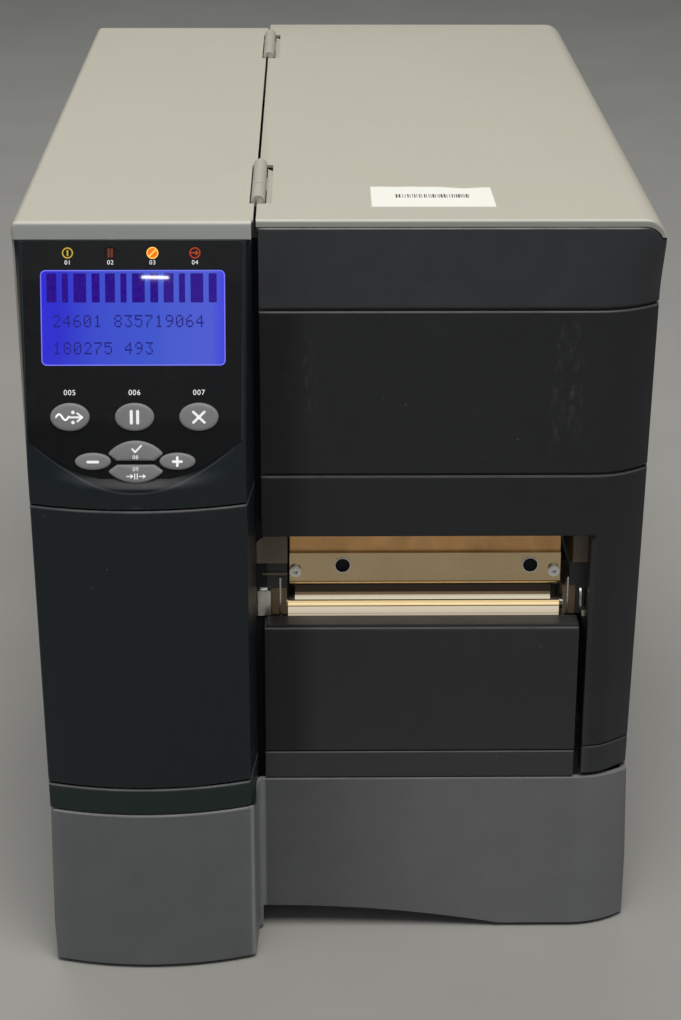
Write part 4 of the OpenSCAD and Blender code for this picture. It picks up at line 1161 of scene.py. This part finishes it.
bars("icon_feed", [(wave[i], wave[i + 1]) for i in range(13)] + [((-27.6, -74.7), (-22.4, -74.7)), ((-24.0, -73.0), (-22.0, -74.7)), ((-24.0, -76.4), (-22.0, -74.7))],
     0.8, KZ, "white_ink", "button_feed")
discs("icon_feed_dots", [(-25.9, -72.6, 0.75), (-25.9, -76.9, 0.75)], KZ, "white_ink", "button_feed")
bars("icon_exit", [((-3.4, -100.0), (-0.9, -100.0)), ((-1.7, -99.3), (-0.9, -100.0)), ((-1.7, -100.7), (-0.9, -100.0)),
                   ((0.0, -98.9), (0.0, -101.1)), ((1.1, -98.9), (1.1, -101.1)), ((2.0, -100.0), (4.4, -100.0)), ((3.6, -99.3), (4.4, -100.0)), ((3.6, -100.7), (4.4, -100.0))],
     0.42, KZ - 0.02, "white_ink", "button_exit")


def number(name, txt, x, y, size, z, mat, body, mtx=FACE, gap=1.12):
    cu = bpy.data.curves.new(name, "FONT")
    cu.body = txt
    cu.size = size * MM
    cu.align_x = "CENTER"
    cu.align_y = "CENTER"
    cu.extrude = 0.03 * MM
    cu.space_character = gap
    o = bpy.data.objects.new(name + "_t", cu)
    scene.collection.objects.link(o)
    o.location = (x * MM, y * MM, z * MM)
    bpy.context.view_layer.update()
    dg = bpy.context.evaluated_depsgraph_get()
    me = bpy.data.meshes.new_from_object(o.evaluated_get(dg))
    me.transform(o.matrix_world)
    me.transform(mtx)
    bpy.data.objects.remove(o)
    ob = bpy.data.objects.new(name, me)
    scene.collection.objects.link(ob)
    me.materials.clear()
    me.materials.append(M[mat])
    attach(ob, body)
    return ob


for i, x in enumerate((-27.3, -9.3, 8.5, 26.4)):
    number("led_number_%d" % (i + 1), "%02d" % (i + 1), x, -9.4, 2.6, 0.04, "white_ink", "chassis")
for i, x in enumerate((-27.3, 0.2, 27.6)):
    number("key_number_%d" % (i + 1), "%03d" % (i + 5), x, -64.4, 3.2, 0.04, "white_ink", "chassis")
number("select_number", "08", 0.4, -91.9, 2.4, KZ - 0.0, "white_ink", "button_select")
number("exit_number", "09", 0.4, -97.0, 2.4, KZ - 0.0, "white_ink", "button_exit")

# indicator icons on the light pipes
ZL = -0.02
ring("led1_ring", -27.3, -5.35, 2.35, 0.55, ZL, "led_yellow")
bars("led1_bar", [((-27.3, -6.3), (-27.3, -4.4))], 0.7, ZL, "led_yellow", "chassis")
bars("led2_bars", [((-9.95, -6.9), (-9.95, -3.8)), ((-8.65, -6.9), (-8.65, -3.8))], 0.85, ZL, "led_dim", "chassis")
discs("led3_core", [(8.5, -5.35, 2.5)], ZL, "led_orange", "chassis")
ring("led3_ring", 8.5, -5.35, 2.5, 0.5, ZL + 0.06, "led_core")
bars("led3_slash", [((7.3, -6.5), (9.7, -4.2))], 0.75, ZL + 0.06, "led_core", "chassis")
ring("led4_ring", 26.4, -5.35, 2.35, 0.5, ZL, "led_red")
bars("led4_arrow", [((25.0, -5.35), (27.5, -5.35)), ((26.8, -4.6), (27.6, -5.35)), ((26.8, -6.1), (27.6, -5.35))], 0.5, ZL, "led_red", "chassis")

# ------------------------------------------------------------------ display
LZ = -0.085
DOT = {"0": "01110100011001110101110011000101110", "1": "00100011000010000100001000010001110", "2": "01110100010000100010001000100011111",
       "3": "11111000100010000010000011000101110", "4": "00010001100101010010111110001000010", "5": "11111100001111000001000011000101110",
       "6": "00110010001000011110100011000101110", "7": "11111000010001000100010000100001000", "8": "01110100011000101110100011000101110",
       "9": "01110100011000101111000010001001100", "-": "00000000000000011111000000000000000", " ": "0" * 35}


def dot_line(bm, txt, x0, y0, pitch, h):
    d = h / 7.0
    w = pitch * 0.74 / 5
    for i, ch in enumerate(txt):
        for r_ in range(7):
            for c_ in range(5):
                if DOT[ch][r_ * 5 + c_] == "1":
                    x, y = x0 + i * pitch + c_ * w, y0 - r_ * d
                    prism(bm, [(x, y - d * 0.93), (x + w * 0.93, y - d * 0.93), (x + w * 0.93, y), (x, y)], LZ, LZ + 0.02)


bm = bmesh.new()
dot_line(bm, "24601 835719064", -33.9, -31.4, 4.33, 5.3)
dot_line(bm, "180275 493", -33.9, -42.9, 4.33, 5.3)
from_bm("lcd_digits", bm, "lcd_mark", "chassis", 30, FACE, False)
bm = bmesh.new()
# a plain row of upright level blocks across the top of the display
random.seed(5)
xx = -36.4
widths = [4.2, 2.6, 5.4, 3.4, 4.2, 2.6, 5.4, 3.4, 4.2, 2.6, 5.4, 3.4]
for i, w_ in enumerate(widths):
    prism(bm, rrect(xx, -26.2, xx + w_, -13.9, 0.35, 2), LZ, LZ + 0.02)
    xx += w_ + 2.28
from_bm("lcd_blocks", bm, "lcd_dark", "chassis", 30, FACE, False)
tube("lcd_rim", [(x, y - 32.7, -0.05) for x, y in rrect(-38.8, -19.95, 38.8, 19.95, 2.0, 6)], 0.22, "lcd_rim", cyc=True, mtx=FACE)

# light-catching rim of the overlay's recess
ov = [(-45.75, -84.5, 0.0), (-46.95, -2.0, 0.0), (-46.5, -0.9, 0.0), (-45.3, -0.3, 0.0), (45.3, -0.3, 0.0), (46.5, -0.9, 0.0), (46.95, -2.0, 0.0), (45.75, -84.5, 0.0)]
tube("overlay_rim", ov, 0.22, "trim", mtx=FACE)

# ------------------------------------------------------------------ label on the door
LT = 350.0
random.seed(11)
top_edge = []
for i in range(27):
    x = 13.8 + (67.0 - 13.8) * i / 26
    y = -149.2 + 0.5 * math.sin(i * 0.9) * 0.4
    if x > 40:
        y -= 2.6 * smooth01((x - 40) / 16) - 1.6 * smooth01((x - 57) / 8)
    top_edge.append((x, y + random.uniform(-0.15, 0.15)))
outline = [(13.6, -183.0), (67.3, -183.2)] + list(reversed(top_edge))
bm = bmesh.new()
prism(bm, outline, LT + 0.02, LT + 0.16)
from_bm("paper_label", bm, "paper", "media_door", 30, None, False)
bm = bmesh.new()
x = 24.5
while x < 57.0:
    w_ = random.choice((0.32, 0.32, 0.55, 0.8))
    prism(bm, [(x, -168.0), (x + w_, -168.0), (x + w_, -162.2), (x, -162.2)], LT + 0.165, LT + 0.18)
    x += w_ + random.choice((0.35, 0.5, 0.8))
from_bm("paper_label_bars", bm, "ink", "media_door", 30, None, False)

# ------------------------------------------------------------------ mechanism details seen in the label exit
boxes("left_latch_block", [((-37.9, -191.0, 159.4), (-31.2, -184.0, 172.2)), ((-36.6, -189.9, 172.0), (-32.6, -186.0, 173.6))], "bright", "chassis", 0.8)
boxes("side_blades", [((-27.4, -189.4, 160.0), (-26.5, -180.0, 178.0)), ((104.4, -189.2, 160.0), (105.2, -181.0, 178.0))], "steel", "chassis", 0.2)
bm = bmesh.new()
prism(bm, [(-37.6, 185.6), (-23.6, 185.6), (-23.6, 203.0), (-29.5, 203.0), (-37.6, 196.0)], 187.6, 190.2)
from_bm("left_bracket", bm, "taupe", "chassis", 35, Matrix(((1, 0, 0, 0), (0, 0, -1, 0), (0, 1, 0, 0), (0, 0, 0, 1))))
boxes("left_bracket_foot", [((-35.0, -190.0, 179.6), (-23.8, -188.4, 180.4))], "taupe", "chassis", 0.1)
boxes("brown_side_plates", [((-30.8, -188.8, 159.4), (-24.0, -186.0, 172.4)), ((103.0, -188.8, 159.4), (108.4, -186.4, 173.4))], "brown", "chassis", 0.3)
boxes("right_bracket", [((106.4, -190.2, 185.6), (117.6, -188.0, 203.0))], "taupe", "chassis", 0.4)
boxes("dark_insets", [((-37.6, -188.6, 172.4), (-23.8, -187.6, 185.5)), ((105.4, -188.6, 172.0), (114.0, -187.6, 185.4)), ((108.5, -188.6, 159.4), (112.9, -187.6, 172.0))], "black", "chassis", 0.2)
bm = bmesh.new()
lathe(bm, [(109.9, 3.0), (109.9, 7.2), (110.2, 7.8), (111.2, 7.8), (111.5, 7.2), (111.5, 3.0)], (0, -183.0, 166.5), "X", 40)
from_bm("right_bearing_cap", bm, "bright", "chassis", 40)
boxes("right_stop", [((111.2, -192.0, 159.3), (113.4, -188.0, 162.6))], "bright", "chassis", 0.5)
boxes("ledge_liner", [((-33.0, -201.2, 156.8), (109.0, -191.2, 159.9))], "panel", "chassis", 0.5)

# painted shade and reflection on the roller's top, hung from the print head: a dark strip over a paler one, just above
# the roller
M["strip"] = plastic("roller_painted_shade", (0.20, 0.155, 0.10), (0.23, 0.18, 0.12), 0.45, 0.2, 0.1)
M["painted_shadow_sheet"] = plastic("painted_shadow_brown", (0.016, 0.009, 0.006), (0.02, 0.012, 0.008), 0.5, 0.2, 0.1)
# the tear bar's brass edge glows as painted light; the dark strip behind it is painted shadow in the gap to the roller
M["brass_edge_painted_glow"] = flat_detail("brass_edge_painted_glow", (1.0, 0.74, 0.38), 0.35, scale=300.0, amount=0.12, painted_glow=(1.0, 0.74, 0.38), es=0.42)
boxes("tear_bar_edge", [((-23.4, -189.85, 165.2), (100.9, -189.3, 166.45))], "brass_edge_painted_glow", "chassis", 0.1)
boxes("tear_bar_shadow_strip", [((-23.4, -189.3, 165.0), (100.9, -189.1, 166.95))], "painted_shadow_sheet", "chassis", 0.05)
# painted shade and reflection on the roller's top
boxes("roller_shade_strip", [((-20.3, -183.0, 166.5), (97.5, -182.75, 168.0))], "strip", "print_head_unit", 0.1)
boxes("roller_shadow_strip", [((-20.3, -183.1, 168.0), (97.5, -182.6, 171.8))], "painted_shadow_sheet", "print_head_unit", 0.1)

# screw recess details
bm = bmesh.new()
for x in (-20, 98.4):
    lathe(bm, [(-186.2, 1.0), (-186.2, 2.2), (-186.75, 2.2), (-186.75, 1.0)], (x, 0, 179.6), "Y", 24, True)
from_bm("head_screw_rims", bm, "screw", "print_head_unit", 40)
for i, x in enumerate((1.6, 87.6)):
    bm = bmesh.new()
    lathe(bm, [(-184.9, 3.3), (-184.9, 3.9), (-184.55, 3.9), (-184.55, 3.3)], (x, 0, 182.1), "Y", 32, True)
    from_bm("plate_hole_rim_%d" % i, bm, "steel", "print_head_unit", 40)
# black backs in the plate's holes: painted shadow
boxes("plate_hole_shadows", [((-1.9, -183.4, 178.6), (5.1, -183.05, 185.6)), ((84.1, -183.4, 178.6), (91.1, -183.05, 185.6))], "shadow", "print_head_unit", 0.0)

# inlet pins at the rear
boxes("inlet_pins", [((-114.5, 208.5, 96.0), (-112.9, 219.5, 101.0)), ((-101.1, 208.5, 96.0), (-99.5, 219.5, 101.0)), ((-107.8, 208.5, 101.0), (-106.2, 219.5, 106.0))], "steel", "chassis", 0.2)

# ------------------------------------------------------------------ stage and light
bm = bmesh.new()
bmesh.ops.create_grid(bm, x_segments=1, y_segments=1, size=4.0)
me = bpy.data.meshes.new("floor")
bm.to_mesh(me)
bm.free()
floor = bpy.data.objects.new("floor", me)
scene.collection.objects.link(floor)
fm, nt, b, co = new_mat("floor_pale")
n1 = noise(nt, co, 6.0, 4, 0.5)
nt.links.new(mix(nt, rampf(nt, n1, 0.3, 0.7), (0.385, 0.375, 0.35), (0.42, 0.41, 0.385)), b.inputs["Base Color"])
b.inputs["Roughness"].default_value = 0.8
me.materials.append(fm)


def area(name, loc, target, size, power, col=(1, 1, 1), sy=None):
    d = bpy.data.lights.new(name, "AREA")
    d.energy = power
    d.color = col
    d.size = size
    if sy:
        d.shape = "RECTANGLE"
        d.size_y = sy
    o = bpy.data.objects.new(name, d)
    scene.collection.objects.link(o)
    o.location = loc
    o.rotation_euler = (Vector(target) - Vector(loc)).to_track_quat("-Z", "Y").to_euler()
    return o


area("top_soft", (0.15, -0.95, 2.15), (0, -0.05, 0.2), 1.3, 33, (1.0, 0.985, 0.95))
area("back_soft", (-0.3, 1.2, 2.2), (0, 0.1, 0.2), 1.6, 15.5, (1.0, 0.98, 0.94))
area("front_soft", (0.5, -2.4, 1.3), (0, 0, 0.15), 1.6, 2.6, (0.90, 0.95, 1.0))
area("left_soft", (-2.2, -0.8, 1.2), (0, 0, 0.2), 1.2, 4, (0.88, 0.94, 1.0))
# a small lamp whose image shows in the display glass
FN = Vector((0, -math.cos(ALPHA), math.sin(ALPHA)))
gp = FACE @ (Vector((9.5, -15.6, 0)) * MM)
vd = (gp - cam.matrix_world.translation).normalized()
gd = vd - 2 * vd.dot(FN) * FN
area("glint", gp + gd * 2.1, gp, 0.036, 0.03, (1.0, 1.0, 1.0), 0.003)
w = bpy.data.worlds.new("world")
scene.world = w
w.use_nodes = True
w.node_tree.nodes["Background"].inputs[0].default_value = (0.80, 0.89, 1.0, 1)
w.node_tree.nodes["Background"].inputs[1].default_value = 0.135
